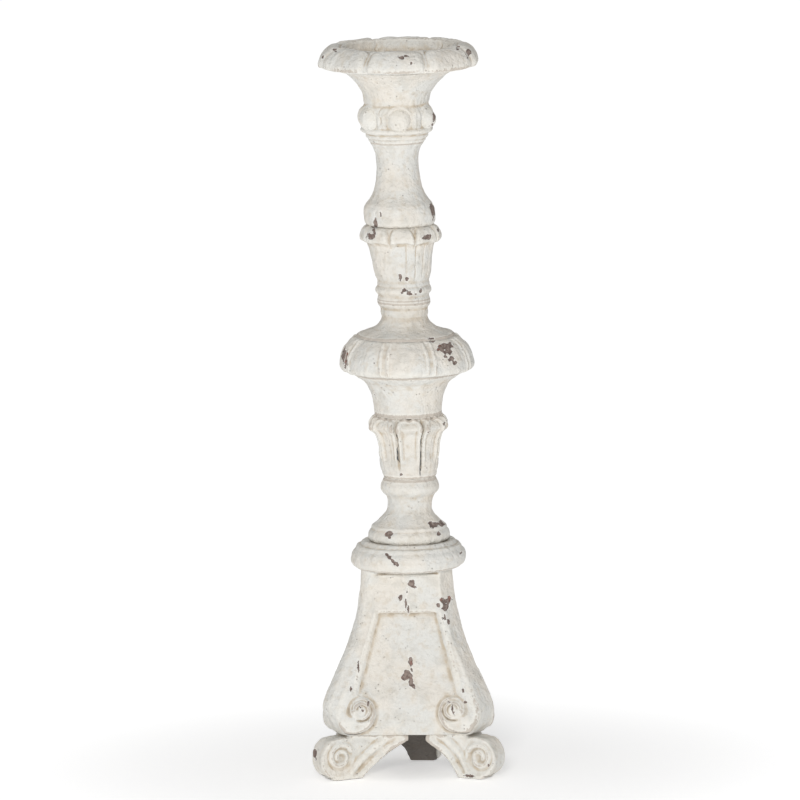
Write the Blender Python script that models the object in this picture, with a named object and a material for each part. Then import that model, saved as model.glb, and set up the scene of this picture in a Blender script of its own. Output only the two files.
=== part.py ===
"""Turned and carved wooden altar candlestick, built up from separate sections on a steel tie rod.

Outlines are written in millimetres as (radius, height) pairs, heights measured from the floor.
A section's outline runs down its outer side and closes round its spigot, socket and bore.
"""
import math

import bmesh
import bpy
from mathutils import Matrix, Vector

MM = 0.001
GAP = 0.3              # clearance between two pieces that touch
AXIS_Y = -11.0         # the turning axis, so that the plan box of the whole is centred on the origin

# Heights of the joints between the sections, from the floor up
BODY_BASE = 38.0
PLATE_BASE = 170.0
BELL_BASE = 194.0
LOWER_LEAF_BASE = 249.0
TRUMPET_BASE = 301.0
DISH_BASE = 338.0
COLLAR_BASE = 367.0
UPPER_LEAF_BASE = 397.0
BALUSTER_BASE = 460.0
BEAD_CUP_BASE = 528.0
PAN_BASE = 590.0
TOTAL_HEIGHT = 610.0

# Joinery
SPIGOT_RADIUS = 12.0
SPIGOT_LENGTH = 9.0
BORE_RADIUS = 4.6
ROD_RADIUS = 4.0
INSERT_RADIUS = 6.5
INSERT_LENGTH = 11.0
PAN_SPIGOT_RADIUS = 18.0
PAN_SPIGOT_LENGTH = 13.0
DOWEL_RADIUS = 3.0
DOWEL_LENGTH = 22.0
WASHER_RADIUS = 12.0
WASHER_THICKNESS = 1.7
NUT_RADIUS = 7.5       # across its corners, halved
NUT_THICKNESS = 6.5
NUT_RECESS_RADIUS = 14.0
NUT_RECESS_DEPTH = 16.0

# The candle pan and the dish
PAN_RADIUS = 65.5
PAN_RIM_RADIUS = 51.0
RECESS_RADIUS = 45.6
RECESS_DEPTH = 12.0
DISH_RADIUS = 55.5
PANEL_COUNT = 8
PAN_GROOVE_DEPTH = 1.0
DISH_RIB_HEIGHT = 0.9
DISH_PHASE = 3.0       # angle of the front panel from the front, degrees
LINE_SHARE = 0.9       # a groove or rib lies where the cosine of the panel count passes this

# Beads round the collar under the pan
BEAD_COUNT = 6
BEAD_RADIUS = 8.75
BEAD_REACH = 26.5
BEAD_HEIGHT = 550.0
COLLAR_CORE_RADIUS = 24.0
PEG_RADIUS = 2.0
PEG_LENGTH = 6.0

# Carved leaf cups
UPPER_PETALS = 10
LOWER_PETALS = 8
UPPER_PHASE = 4.5      # angle of the first petal from the front, degrees
LOWER_PHASE = 6.5
PETAL_PROUD = 0.9

# Three-sided pedestal: the corner ribs' outward reach and width
CORNER_ANGLES = (-60.0, 60.0, 180.0)      # from the front, towards +X
RIB_WIDTH = 22.0
RIB_THICKNESS = 6.0
RIB_TOP_REACH = 37.5
RIB_BELLY_REACH = 76.0
RIB_FOOT_REACH = 66.0
BELLY_HEIGHT = 57.0
VOLUTE_OFFSET = 37.5
VOLUTE_HEIGHT = 58.0
VOLUTE_RADIUS = 15.0
VOLUTE_RELIEF = 4.0
PANEL_TOP_HEIGHT = 139.0
PANEL_MIDDLE_HEIGHT = 108.0
PANEL_BASE_HEIGHT = 78.0
PANEL_TOP_HALF = 24.0
PANEL_MIDDLE_HALF = 31.0
PANEL_BASE_HALF = 38.0
PANEL_DEPTH = 3.0

# Scroll feet
FOOT_ANGLES = (-61.0, 61.5, 173.0)
FOOT_WIDTH = 20.0
SCROLL_REACH = 69.0
SCROLL_HEIGHT = 18.0
SCROLL_RADIUS = 18.0
SCROLL_EYE_RADIUS = 9.5
SCROLL_EYE_RELIEF = 1.5
FOOT_ROOT_REACH = 20.0
FOOT_SOLE_REACH = 50.0
ARCH_CENTRE_REACH = 10.0
DOWEL_REACHES = (32.0, 50.0)

PAINT = (0.78, 0.75, 0.68, 1.0)


def clear_scene():
    for thing in list(bpy.data.objects):
        bpy.data.objects.remove(thing, do_unlink=True)


def material(name, colour, roughness, metallic=0.0):
    made = bpy.data.materials.new(name)
    made.use_nodes = True
    shader = made.node_tree.nodes["Principled BSDF"]
    shader.inputs["Base Color"].default_value = colour
    shader.inputs["Roughness"].default_value = roughness
    shader.inputs["Metallic"].default_value = metallic
    return made


def add_piece(name, bm, finish, parent, smooth=True):
    """Make a mesh object on the candlestick's axis from a finished bmesh."""
    bmesh.ops.recalc_face_normals(bm, faces=bm.faces)
    mesh = bpy.data.meshes.new(name)
    bm.to_mesh(mesh)
    bm.free()
    mesh.materials.append(finish)
    if smooth:
        mesh.shade_smooth()
        mesh.set_sharp_from_angle(angle=math.radians(35))
    piece = bpy.data.objects.new(name, mesh)
    bpy.context.scene.collection.objects.link(piece)
    piece.parent = parent
    return piece


def add_cutter(name, bm, parent):
    cutter = add_piece(name, bm, CUTTER_FINISH, parent, smooth=False)
    cutter.hide_render = True
    cutter.display_type = "WIRE"
    return cutter


def boolean(piece, tool, operation="DIFFERENCE"):
    cut = piece.modifiers.new(tool.name, "BOOLEAN")
    cut.operation = operation
    cut.object = tool
    cut.solver = "EXACT"


# ---- outlines -------------------------------------------------------------------------------

def arc(radius, height, size, start, end, count):
    """Round moulding about (radius, height): angles in degrees, 0 pointing outwards, 90 up."""
    turns = [math.radians(start + (end - start) * i / count) for i in range(count + 1)]
    return [(radius + size * math.cos(a), height + size * math.sin(a)) for a in turns]


def quarter(start, end, first, count):
    """Quarter of an ellipse that leaves start either level or upright."""
    points = []
    for i in range(count + 1):
        turn = math.pi / 2 * i / count
        swing, rise = math.sin(turn), 1 - math.cos(turn)
        across, along = (swing, rise) if first == "level" else (rise, swing)
        points.append((start[0] + (end[0] - start[0]) * across, start[1] + (end[1] - start[1]) * along))
    return points


def flare(wide, narrow, power, count):
    """Trumpet curve from its wide end to its narrow end."""
    points = []
    for i in range(count + 1):
        left = 1 - i / count
        points.append((narrow[0] + (wide[0] - narrow[0]) * left ** power,
                       narrow[1] + (wide[1] - narrow[1]) * left))
    return points


def spigot_and_socket(base, top, base_radius, top_radius, spigot=True):
    """Inner side of a bored section, upwards: a spigot under its base, a socket in its top."""
    under = [(SPIGOT_RADIUS, base + GAP), (SPIGOT_RADIUS, base - SPIGOT_LENGTH),
             (BORE_RADIUS, base - SPIGOT_LENGTH)] if spigot else [(BORE_RADIUS, base + GAP)]
    floor = top - SPIGOT_LENGTH - GAP
    socket = [(BORE_RADIUS, floor), (SPIGOT_RADIUS + GAP, floor), (SPIGOT_RADIUS + GAP, top)]
    return [(base_radius, base + GAP)] + under + socket + [(top_radius, top)]


def tidy(points):
    """Drop points that repeat the one before."""
    kept = []
    for point in points:
        if not kept or math.dist(point, kept[-1]) > 0.05:
            kept.append(point)
    while math.dist(kept[0], kept[-1]) <= 0.05:
        kept.pop()
    return kept


def turned(outline, steps, on_axis=False):
    """Spin an outline once round the axis. An outline on the axis is open at both its ends."""
    bm = bmesh.new()
    points = tidy(outline)
    verts = [bm.verts.new((radius * MM, 0, height * MM)) for radius, height in points]
    ends = verts[1:] if on_axis else verts[1:] + verts[:1]
    edges = [bm.edges.new(pair) for pair in zip(verts, ends)]
    bmesh.ops.spin(bm, geom=verts + edges, cent=(0, 0, 0), axis=(0, 0, 1), angle=2 * math.pi,
                   steps=steps, use_merge=True)
    bmesh.ops.remove_doubles(bm, verts=bm.verts, dist=1e-6)
    return bm


def carve(bm, rule, floor_radius):
    """Move the points outside floor_radius in or out by rule(angle, height), in millimetres."""
    for vert in bm.verts:
        radius = math.hypot(vert.co.x, vert.co.y) / MM
        if radius > floor_radius:
            angle = math.atan2(vert.co.x, -vert.co.y)
            change = rule(angle, vert.co.z / MM)
            vert.co.x *= (radius + change) / radius
            vert.co.y *= (radius + change) / radius


def cylinder(radius, low, high, sides=24):
    bm = bmesh.new()
    bmesh.ops.create_cone(bm, cap_ends=True, segments=sides, radius1=radius * MM, radius2=radius * MM,
                          depth=(high - low) * MM, matrix=Matrix.Translation((0, 0, (low + high) / 2 * MM)))
    return bm


# ---- turned sections ------------------------------------------------------------------------

def drip_pan(parent):
    """Candle pan: a domed rim carved in panels, a shallow recess above and a spigot below."""
    base = PAN_BASE + GAP
    hole_top = PAN_BASE - PAN_SPIGOT_LENGTH + INSERT_LENGTH + 1.0
    floor = TOTAL_HEIGHT - RECESS_DEPTH
    outline = [(0, floor), (RECESS_RADIUS - 5, floor)]
    outline += quarter((RECESS_RADIUS - 5, floor), (RECESS_RADIUS - 1, floor + 4), "level", 2)
    outline += [(RECESS_RADIUS, TOTAL_HEIGHT), (PAN_RIM_RADIUS, TOTAL_HEIGHT)]
    outline += quarter((PAN_RIM_RADIUS, TOTAL_HEIGHT), (PAN_RADIUS, TOTAL_HEIGHT - 14), "level", 5)
    outline += [(PAN_RADIUS - 1.5, PAN_BASE + 3), (PAN_RADIUS - 5, PAN_BASE + 2), (44, base)]
    outline += [(PAN_SPIGOT_RADIUS, base), (PAN_SPIGOT_RADIUS, PAN_BASE - PAN_SPIGOT_LENGTH)]
    outline += [(INSERT_RADIUS + GAP, PAN_BASE - PAN_SPIGOT_LENGTH), (INSERT_RADIUS + GAP, hole_top)]
    outline += [(0, hole_top)]
    bm = turned(outline, PANEL_COUNT * 4, on_axis=True)

    def panels(angle, height):
        groove = math.cos(angle * PANEL_COUNT) < -LINE_SHARE
        return -PAN_GROOVE_DEPTH if groove and height > PAN_BASE + 3 else 0.0

    carve(bm, panels, PAN_RIM_RADIUS + 1)
    return add_piece("drip_pan", bm, material("painted_pan", PAINT, 0.8), parent)


def bead_cup(parent):
    """Capital under the pan: a flared cup, a core that carries the beads, and two rings."""
    top, base = PAN_BASE, BEAD_CUP_BASE
    outline = flare((44, top), (26.5, 563), 2.2, 6)
    outline += [(COLLAR_CORE_RADIUS, 561), (COLLAR_CORE_RADIUS, 540)]
    outline += [(29.5, 540), (29.5, 538), (26.0, 536.5)]
    outline += arc(24.5, 534.5, 1.8, 80, -80, 3)
    outline += [(22.5, 531), (22.0, base + GAP)]
    outline += [(SPIGOT_RADIUS, base + GAP), (SPIGOT_RADIUS, base - SPIGOT_LENGTH)]
    outline += [(BORE_RADIUS, base - SPIGOT_LENGTH), (BORE_RADIUS, top - PAN_SPIGOT_LENGTH - 3)]
    outline += [(PAN_SPIGOT_RADIUS + GAP, top - PAN_SPIGOT_LENGTH - 3), (PAN_SPIGOT_RADIUS + GAP, top)]
    cup = add_piece("bead_cup", turned(outline, 30), material("painted_cup", PAINT, 0.8), parent)
    holes = bmesh.new()
    for index in range(BEAD_COUNT):
        place = outward(360 / BEAD_COUNT * index, COLLAR_CORE_RADIUS, BEAD_HEIGHT)
        bmesh.ops.create_cone(holes, cap_ends=True, segments=12, radius1=(PEG_RADIUS + GAP) * MM,
                              radius2=(PEG_RADIUS + GAP) * MM, depth=2 * (PEG_LENGTH + GAP) * MM,
                              matrix=place @ Matrix.Rotation(math.pi / 2, 4, "Y"))
    boolean(cup, add_cutter("peg_holes", holes, parent))


def outward(angle, reach, height):
    """Frame whose X axis points away from the candlestick's axis, angle degrees round from the front."""
    turn = math.radians(angle - 90)
    return (Matrix.Rotation(turn, 4, "Z") @ Matrix.Translation((reach * MM, 0, height * MM)))


def beads(parent):
    """Turned balls with a flat back and a peg, glued round the capital."""
    back = COLLAR_CORE_RADIUS + GAP - BEAD_REACH
    flat = math.degrees(math.acos(back / BEAD_RADIUS))
    outline = arc(0, 0, BEAD_RADIUS, 90, 90 - flat, 5)
    outline += [(PEG_RADIUS, back), (PEG_RADIUS, back - PEG_LENGTH), (0, back - PEG_LENGTH)]
    for index in range(BEAD_COUNT):
        bm = turned(outline, 14, on_axis=True)
        name = f"bead_{index + 1}"
        bead = add_piece(name, bm, material(f"painted_{name}", PAINT, 0.8), parent)
        place = outward(360 / BEAD_COUNT * index, BEAD_REACH, BEAD_HEIGHT)
        bead.matrix_local = place @ Matrix.Rotation(math.pi / 2, 4, "Y")


def baluster(parent):
    """Slender neck that swells to a round knop."""
    base, top = BALUSTER_BASE, BEAD_CUP_BASE
    outline = flare((22, top), (17.4, 513), 1.6, 3) + [(17.4, 508)]
    outline += flare((27.5, 477.5), (17.4, 508), 2.0, 5)[::-1]
    outline += arc(21.5, 469, 8.5, 75, -75, 6)
    outline += spigot_and_socket(base, top, 22.5, 22)
    add_piece("baluster_neck", turned(outline, 28), material("painted_neck", PAINT, 0.8), parent)


def leaf_rule(petals, phase, tip, foot, curl):
    """Petals that stand proud between tip and foot, with a groove between two petals."""
    def rule(angle, height):
        wave = math.cos((angle - phase) * petals)
        if height >= tip - 3:
            return curl * wave
        if height > foot:
            return PETAL_PROUD * (wave - 0.5)
        return 0.0
    return rule


def upper_leaf_cup(parent):
    """Carved cup of curled petals on a round torus."""
    base, top = UPPER_LEAF_BASE, BALUSTER_BASE
    outline = [(24, top), (29, top - 1), (32.2, 455.5), (32.6, 451), (29, 447)]
    outline += flare((26.5, 442), (22.4, 413), 1.2, 4)
    outline += [(20.7, 410.5), (20.9, 408)]
    outline += arc(20, 403, 4.0, 75, -75, 4)
    outline += spigot_and_socket(base, top, 20.5, 24)
    bm = turned(outline, UPPER_PETALS * 4)
    carve(bm, leaf_rule(UPPER_PETALS, math.radians(UPPER_PHASE), 452, 411, 1.3), 22.0)
    add_piece("upper_leaf_cup", bm, material("painted_upper_leaves", PAINT, 0.8), parent)


def collar(parent):
    """Ringed neck whose foot flares into a thin overhanging lip."""
    base, top = COLLAR_BASE, UPPER_LEAF_BASE
    outline = [(20.5, top)] + arc(19, 393.8, 2.2, 60, -60, 2) + [(19.1, 388), (18.9, 384)]
    outline += quarter((18.9, 384), (37.5, 370.3), "upright", 5) + [(41, 368.6), (41, base + GAP)]
    outline += spigot_and_socket(base, top, 39, 18.5)
    add_piece("collar", turned(outline, 30), material("painted_collar", PAINT, 0.8), parent)


def dish(parent):
    """Domed middle dish, carved in panels with a rib between each two."""
    base, top = DISH_BASE, COLLAR_BASE
    outline = [(40, top)] + quarter((42, 365.5), (DISH_RADIUS, 342), "level", 6)
    outline += [(DISH_RADIUS - 0.7, base + 1.5), (DISH_RADIUS - 3, base + GAP)]
    outline += spigot_and_socket(base, top, 48, 38)
    bm = turned(outline, PANEL_COUNT * 4)

    def ribs(angle, height):
        rib = math.cos((angle - math.radians(DISH_PHASE)) * PANEL_COUNT) < -LINE_SHARE
        return DISH_RIB_HEIGHT if rib and height > base + 3 else 0.0

    carve(bm, ribs, 44.0)
    add_piece("dish", bm, material("painted_dish", PAINT, 0.8), parent)


def trumpet(parent):
    """Hollow-curved bell under the dish."""
    base, top = TRUMPET_BASE, DISH_BASE
    outline = flare((48, top), (27.8, 305), 2.6, 7) + [(27.6, base + GAP)]
    outline += spigot_and_socket(base, top, 26.5, 46)
    add_piece("trumpet", turned(outline, 30), material("painted_trumpet", PAINT, 0.8), parent)


def lower_leaf_cup(parent):
    """Carved cup of eight arched petals on a cone."""
    base, top = LOWER_LEAF_BASE, TRUMPET_BASE
    outline = [(26.5, top), (30, top - 0.6), (32.6, 296.5), (33, 293), (30, 288)]
    outline += flare((27.3, 283.5), (24.0, 258), 1.8, 4)
    outline += [(22.5, 254), (20.7, base + GAP)]
    outline += spigot_and_socket(base, top, 19.5, 24)
    bm = turned(outline, LOWER_PETALS * 4)
    carve(bm, leaf_rule(LOWER_PETALS, math.radians(LOWER_PHASE), 294, 256, 1.2), 23.0)
    add_piece("lower_leaf_cup", bm, material("painted_lower_leaves", PAINT, 0.8), parent)


def bell_foot(parent):
    """Ring, short neck and a bell that ends in a round torus."""
    base, top = BELL_BASE, LOWER_LEAF_BASE
    outline = [(20.5, top)] + arc(20.5, 241.5, 4.0, 62, -62, 4) + [(19.4, 233), (18.2, 229), (18.2, 223)]
    outline += quarter((18.2, 223), (29.5, 208.8), "upright", 4) + [(31.2, 208.2), (31.2, 206.4)]
    outline += arc(28.5, 200.2, 5.9, 60, -75, 5)
    outline += spigot_and_socket(base, top, 28.5, 18.5)
    add_piece("bell_foot", turned(outline, 28), material("painted_bell", PAINT, 0.8), parent)


def base_plate(parent):
    """Round plate with a stepped top edge and a half-round side."""
    base, top = PLATE_BASE, BELL_BASE
    outline = [(39, top), (40.2, top - 0.8), (40.8, 191), (43.2, 190.2)]
    outline += quarter((43.2, 190.2), (47.7, 181), "level", 3)
    outline += quarter((47.7, 181), (41.5, base + GAP), "upright", 3)
    outline += spigot_and_socket(base, top, 38, 36)
    add_piece("base_plate", turned(outline, 32), material("painted_plate", PAINT, 0.8), parent)


# ---- three-sided pedestal -------------------------------------------------------------------

def rib_reach(height):
    """Outward reach of a corner rib: an S-curve to the belly, then back under it."""
    if height >= BELLY_HEIGHT:
        part = (PLATE_BASE - height) / (PLATE_BASE - BELLY_HEIGHT)
        ease = part ** 1.7 * (1.85 - 0.85 * part ** 1.6)
        return RIB_TOP_REACH + (RIB_BELLY_REACH - RIB_TOP_REACH) * ease
    part = (BELLY_HEIGHT - height) / (BELLY_HEIGHT - BODY_BASE)
    return RIB_BELLY_REACH - (RIB_BELLY_REACH - RIB_FOOT_REACH) * part ** 2


def face_distance(height):
    """How far a face of the pedestal stands from the axis, so that it runs out to its corner ribs."""
    return rib_reach(height) / 2 + RIB_WIDTH * math.sqrt(3) / 4


def pedestal_section(height):
    """Six corners of the core at one height: three faces, and three flats that carry the ribs."""
    flat = rib_reach(height) - RIB_THICKNESS - GAP
    face = face_distance(height)
    half = (face - flat / 2) * 2 / math.sqrt(3)
    corners = []
    for angle in sorted(CORNER_ANGLES):
        frame = outward(angle, 0, 0)
        corners += [frame @ Vector((flat * MM, side * half * MM, height * MM)) for side in (-1, 1)]
    return corners


def pedestal_heights():
    below = [BODY_BASE, 44.0, 50.0, BELLY_HEIGHT]
    above = [BELLY_HEIGHT + (PLATE_BASE - BELLY_HEIGHT) * i / 9 for i in range(1, 10)]
    return below + above


def pedestal_core():
    bm = bmesh.new()
    rings = [[bm.verts.new(corner) for corner in pedestal_section(height)] for height in pedestal_heights()]
    for low, high in zip(rings, rings[1:]):
        for i in range(len(low)):
            nearby = (i + 1) % len(low)
            bm.faces.new((low[i], low[nearby], high[nearby], high[i]))
    bm.faces.new(rings[0])
    bm.faces.new(rings[-1])
    return bm


def face_panel_cutter():
    """Shallow trapezium that leans with the face, cut into each of the three faces."""
    bm = bmesh.new()
    levels = ((PANEL_BASE_HEIGHT, PANEL_BASE_HALF), (PANEL_MIDDLE_HEIGHT, PANEL_MIDDLE_HALF),
              (PANEL_TOP_HEIGHT, PANEL_TOP_HALF))
    for turn in (0, 120, 240):
        frame = outward(turn, 0, 0)
        rows = []
        for height, half in levels:
            inner = face_distance(height) - PANEL_DEPTH
            rows.append([frame @ Vector((depth * MM, side * half * MM, height * MM))
                         for depth, side in ((inner, -1), (inner, 1), (inner + 12, 1), (inner + 12, -1))])
        loops = [[bm.verts.new(corner) for corner in row] for row in rows]
        for low, high in zip(loops, loops[1:]):
            for i in range(4):
                bm.faces.new((low[i], low[(i + 1) % 4], high[(i + 1) % 4], high[i]))
        bm.faces.new(loops[0])
        bm.faces.new(loops[-1])
    return bm


def volute_bosses():
    """Round volutes in relief at the lower corners of each face."""
    bm = bmesh.new()
    depth = 14.0
    for turn in (0, 120, 240):
        for side in (-1, 1):
            reach = face_distance(VOLUTE_HEIGHT) + VOLUTE_RELIEF - depth / 2
            aside = Matrix.Translation((0, side * VOLUTE_OFFSET * MM, 0))
            place = outward(turn, reach, VOLUTE_HEIGHT) @ aside
            bmesh.ops.create_cone(bm, cap_ends=True, segments=20, radius1=VOLUTE_RADIUS * MM,
                                  radius2=VOLUTE_RADIUS * MM, depth=depth * MM,
                                  matrix=place @ Matrix.Rotation(math.pi / 2, 4, "Y"))
    return bm


def pedestal(parent):
    """Three-sided body with its panels, volutes, bore and dowel holes."""
    paint = material("painted_body", PAINT, 0.8)
    body = add_piece("pedestal_body", pedestal_core(), paint, parent, smooth=False)
    boolean(body, add_cutter("panel_cutter", face_panel_cutter(), parent))
    boolean(body, add_cutter("volute_bosses", volute_bosses(), parent), "UNION")
    hole = [(0, BODY_BASE - 2), (0, PLATE_BASE + 2), (SPIGOT_RADIUS + GAP, PLATE_BASE + 2)]
    hole += [(SPIGOT_RADIUS + GAP, PLATE_BASE - SPIGOT_LENGTH - GAP)]
    hole += [(BORE_RADIUS, PLATE_BASE - SPIGOT_LENGTH - GAP), (BORE_RADIUS, BODY_BASE + NUT_RECESS_DEPTH)]
    hole += [(NUT_RECESS_RADIUS, BODY_BASE + NUT_RECESS_DEPTH), (NUT_RECESS_RADIUS, BODY_BASE - 2)]
    outline = hole[1:] + hole[:1]
    boolean(body, add_cutter("body_bore", turned(outline, 24, on_axis=True), parent))
    sockets = bmesh.new()
    for angle in FOOT_ANGLES:
        for reach in DOWEL_REACHES:
            place = outward(angle, reach, BODY_BASE)
            bmesh.ops.create_cone(sockets, cap_ends=True, segments=14, radius1=(DOWEL_RADIUS + GAP) * MM,
                                  radius2=(DOWEL_RADIUS + GAP) * MM, depth=(DOWEL_LENGTH + 2 * GAP) * MM,
                                  matrix=place)
    boolean(body, add_cutter("dowel_holes_in_body", sockets, parent))


def corner_ribs(parent):
    """S-shaped ribs glued down the three corners."""
    for index, angle in enumerate(CORNER_ANGLES):
        frame = outward(angle, 0, 0)
        bm = bmesh.new()
        rings = []
        for height in pedestal_heights():
            low = height + (GAP if height == BODY_BASE else 0)
            level = low - (GAP if height == PLATE_BASE else 0)
            reach = rib_reach(height)
            back = reach - RIB_THICKNESS
            half_front = RIB_WIDTH / 2
            half_back = (face_distance(height) - back / 2) * 2 / math.sqrt(3)
            ring = [(back, -half_back), (back, half_back), (reach - 1, half_front), (reach, half_front - 2),
                    (reach, 2 - half_front), (reach - 1, -half_front)]
            rings.append([bm.verts.new(frame @ Vector((out * MM, side * MM, level * MM)))
                          for out, side in ring])
        for low_ring, high_ring in zip(rings, rings[1:]):
            for i in range(len(low_ring)):
                nearby = (i + 1) % len(low_ring)
                bm.faces.new((low_ring[i], low_ring[nearby], high_ring[nearby], high_ring[i]))
        bm.faces.new(rings[0])
        bm.faces.new(rings[-1])
        name = f"corner_rib_{index + 1}"
        add_piece(name, bm, material(f"painted_{name}", PAINT, 0.8), parent)


# ---- feet -----------------------------------------------------------------------------------

def foot_profile():
    """Side outline of a scroll foot: root under the body, arch below, scroll at the toe."""
    top = BODY_BASE - GAP
    outline = [(FOOT_ROOT_REACH, top)]
    for i in range(7):
        reach = FOOT_ROOT_REACH + (FOOT_SOLE_REACH - FOOT_ROOT_REACH) * i / 6
        part = (reach - ARCH_CENTRE_REACH) / (FOOT_SOLE_REACH - ARCH_CENTRE_REACH)
        outline.append((reach, BODY_BASE * (1 - part ** 1.6)))
    outline += arc(SCROLL_REACH, SCROLL_HEIGHT, SCROLL_RADIUS, -90, 130, 12)
    outline.append((SCROLL_REACH - SCROLL_RADIUS * 0.62, top))
    return outline


def feet(parent):
    """Three C-scroll feet, dowelled under the pedestal, with a raised eye on each side."""
    for index, angle in enumerate(FOOT_ANGLES):
        frame = outward(angle, 0, 0)
        bm = bmesh.new()
        outline = tidy(foot_profile())
        side = [bm.verts.new(frame @ Vector((reach * MM, -FOOT_WIDTH / 2 * MM, height * MM)))
                for reach, height in outline]
        face = bm.faces.new(side)
        extruded = bmesh.ops.extrude_face_region(bm, geom=[face])
        moved = [item for item in extruded["geom"] if isinstance(item, bmesh.types.BMVert)]
        across = frame.to_3x3() @ Vector((0, FOOT_WIDTH * MM, 0))
        bmesh.ops.translate(bm, verts=moved, vec=across)
        name = f"scroll_foot_{index + 1}"
        foot = add_piece(name, bm, material(f"painted_{name}", PAINT, 0.8), parent)
        eye = bmesh.new()
        place = outward(angle, SCROLL_REACH, SCROLL_HEIGHT) @ Matrix.Rotation(math.pi / 2, 4, "X")
        bmesh.ops.create_cone(eye, cap_ends=True, segments=18, radius1=SCROLL_EYE_RADIUS * MM,
                              radius2=SCROLL_EYE_RADIUS * MM,
                              depth=(FOOT_WIDTH + 2 * SCROLL_EYE_RELIEF) * MM, matrix=place)
        boolean(foot, add_cutter(f"scroll_eye_{index + 1}", eye, parent), "UNION")
        sockets = bmesh.new()
        for reach in DOWEL_REACHES:
            bmesh.ops.create_cone(sockets, cap_ends=True, segments=14, radius1=(DOWEL_RADIUS + GAP) * MM,
                                  radius2=(DOWEL_RADIUS + GAP) * MM, depth=(DOWEL_LENGTH + 2 * GAP) * MM,
                                  matrix=outward(angle, reach, BODY_BASE))
        boolean(foot, add_cutter(f"dowel_holes_in_foot_{index + 1}", sockets, parent))


def foot_dowels(parent):
    """Two beech dowels hold each foot."""
    count = 0
    for angle in FOOT_ANGLES:
        for reach in DOWEL_REACHES:
            count += 1
            bm = cylinder(DOWEL_RADIUS, -DOWEL_LENGTH / 2, DOWEL_LENGTH / 2, 14)
            name = f"foot_dowel_{count}"
            dowel = add_piece(name, bm, material(f"beech_{name}", (0.62, 0.45, 0.27, 1.0), 0.6), parent)
            dowel.matrix_local = outward(angle, reach, BODY_BASE)


# ---- tie rod --------------------------------------------------------------------------------

def rod_hardware(parent):
    """Steel rod that pulls the sections together: insert in the pan, washer and nut under the body."""
    steel = (0.55, 0.55, 0.56, 1.0)
    recess_top = BODY_BASE + NUT_RECESS_DEPTH
    insert_base = PAN_BASE - PAN_SPIGOT_LENGTH
    rod = cylinder(ROD_RADIUS, BODY_BASE + 3, insert_base + INSERT_LENGTH - 1.5, 20)    # clear of both ends
    add_piece("tie_rod", rod, material("zinc_rod", steel, 0.35, 1.0), parent)
    washer_top = recess_top - GAP
    washer_base = washer_top - WASHER_THICKNESS
    nut_top = washer_base - GAP
    ring = [(WASHER_RADIUS, washer_top), (WASHER_RADIUS, washer_base), (BORE_RADIUS, washer_base),
            (BORE_RADIUS, washer_top)]
    add_piece("rod_washer", turned(ring, 24), material("zinc_washer", steel, 0.35, 1.0), parent)
    nut = add_piece("rod_nut", cylinder(NUT_RADIUS, nut_top - NUT_THICKNESS, nut_top, 6),
                    material("zinc_nut", steel, 0.35, 1.0), parent, smooth=False)
    thread = cylinder(ROD_RADIUS + GAP, recess_top - 10, recess_top, 20)
    boolean(nut, add_cutter("nut_thread", thread, parent))
    sleeve = [(INSERT_RADIUS, insert_base + INSERT_LENGTH), (INSERT_RADIUS, insert_base),
              (ROD_RADIUS + GAP, insert_base), (ROD_RADIUS + GAP, insert_base + INSERT_LENGTH)]
    brass = material("brass_insert", (0.75, 0.58, 0.28, 1.0), 0.35, 1.0)
    add_piece("pan_insert", turned(sleeve, 24), brass, parent)


clear_scene()
CUTTER_FINISH = material("cutter", (1, 0, 0, 1), 0.5)
axis = bpy.data.objects.new("candlestick_axis", None)
axis.location = (0, AXIS_Y * MM, 0)
bpy.context.scene.collection.objects.link(axis)
for build in (drip_pan, bead_cup, beads, baluster, upper_leaf_cup, collar, dish, trumpet, lower_leaf_cup,
              bell_foot, base_plate, pedestal, corner_ribs, feet, foot_dowels, rod_hardware):
    build(axis)
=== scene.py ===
import math

import bmesh
import bpy
import numpy as np
from mathutils import Matrix, Vector


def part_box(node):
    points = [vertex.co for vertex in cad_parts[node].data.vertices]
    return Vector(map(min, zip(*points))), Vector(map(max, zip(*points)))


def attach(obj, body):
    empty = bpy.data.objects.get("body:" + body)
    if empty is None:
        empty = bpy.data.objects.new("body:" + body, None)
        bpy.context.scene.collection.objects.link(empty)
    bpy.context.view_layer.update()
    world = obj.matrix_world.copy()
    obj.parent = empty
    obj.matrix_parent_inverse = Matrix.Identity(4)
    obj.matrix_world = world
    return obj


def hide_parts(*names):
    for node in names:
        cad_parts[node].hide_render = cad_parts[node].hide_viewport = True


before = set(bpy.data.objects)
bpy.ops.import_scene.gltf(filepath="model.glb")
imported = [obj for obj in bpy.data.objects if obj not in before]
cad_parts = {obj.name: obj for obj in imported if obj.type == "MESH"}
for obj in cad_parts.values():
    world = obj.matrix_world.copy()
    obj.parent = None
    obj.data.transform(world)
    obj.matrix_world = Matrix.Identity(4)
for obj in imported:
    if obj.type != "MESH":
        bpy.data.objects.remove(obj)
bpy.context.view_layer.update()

# ---- Scroll feet ----------------------------------------------------------------------------
# Three C-scroll feet, band-sawn from the plank, carved with a volute on each side, dowelled and
# glued under the pedestal, then coated with gesso and chalk paint like everything above them.

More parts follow.
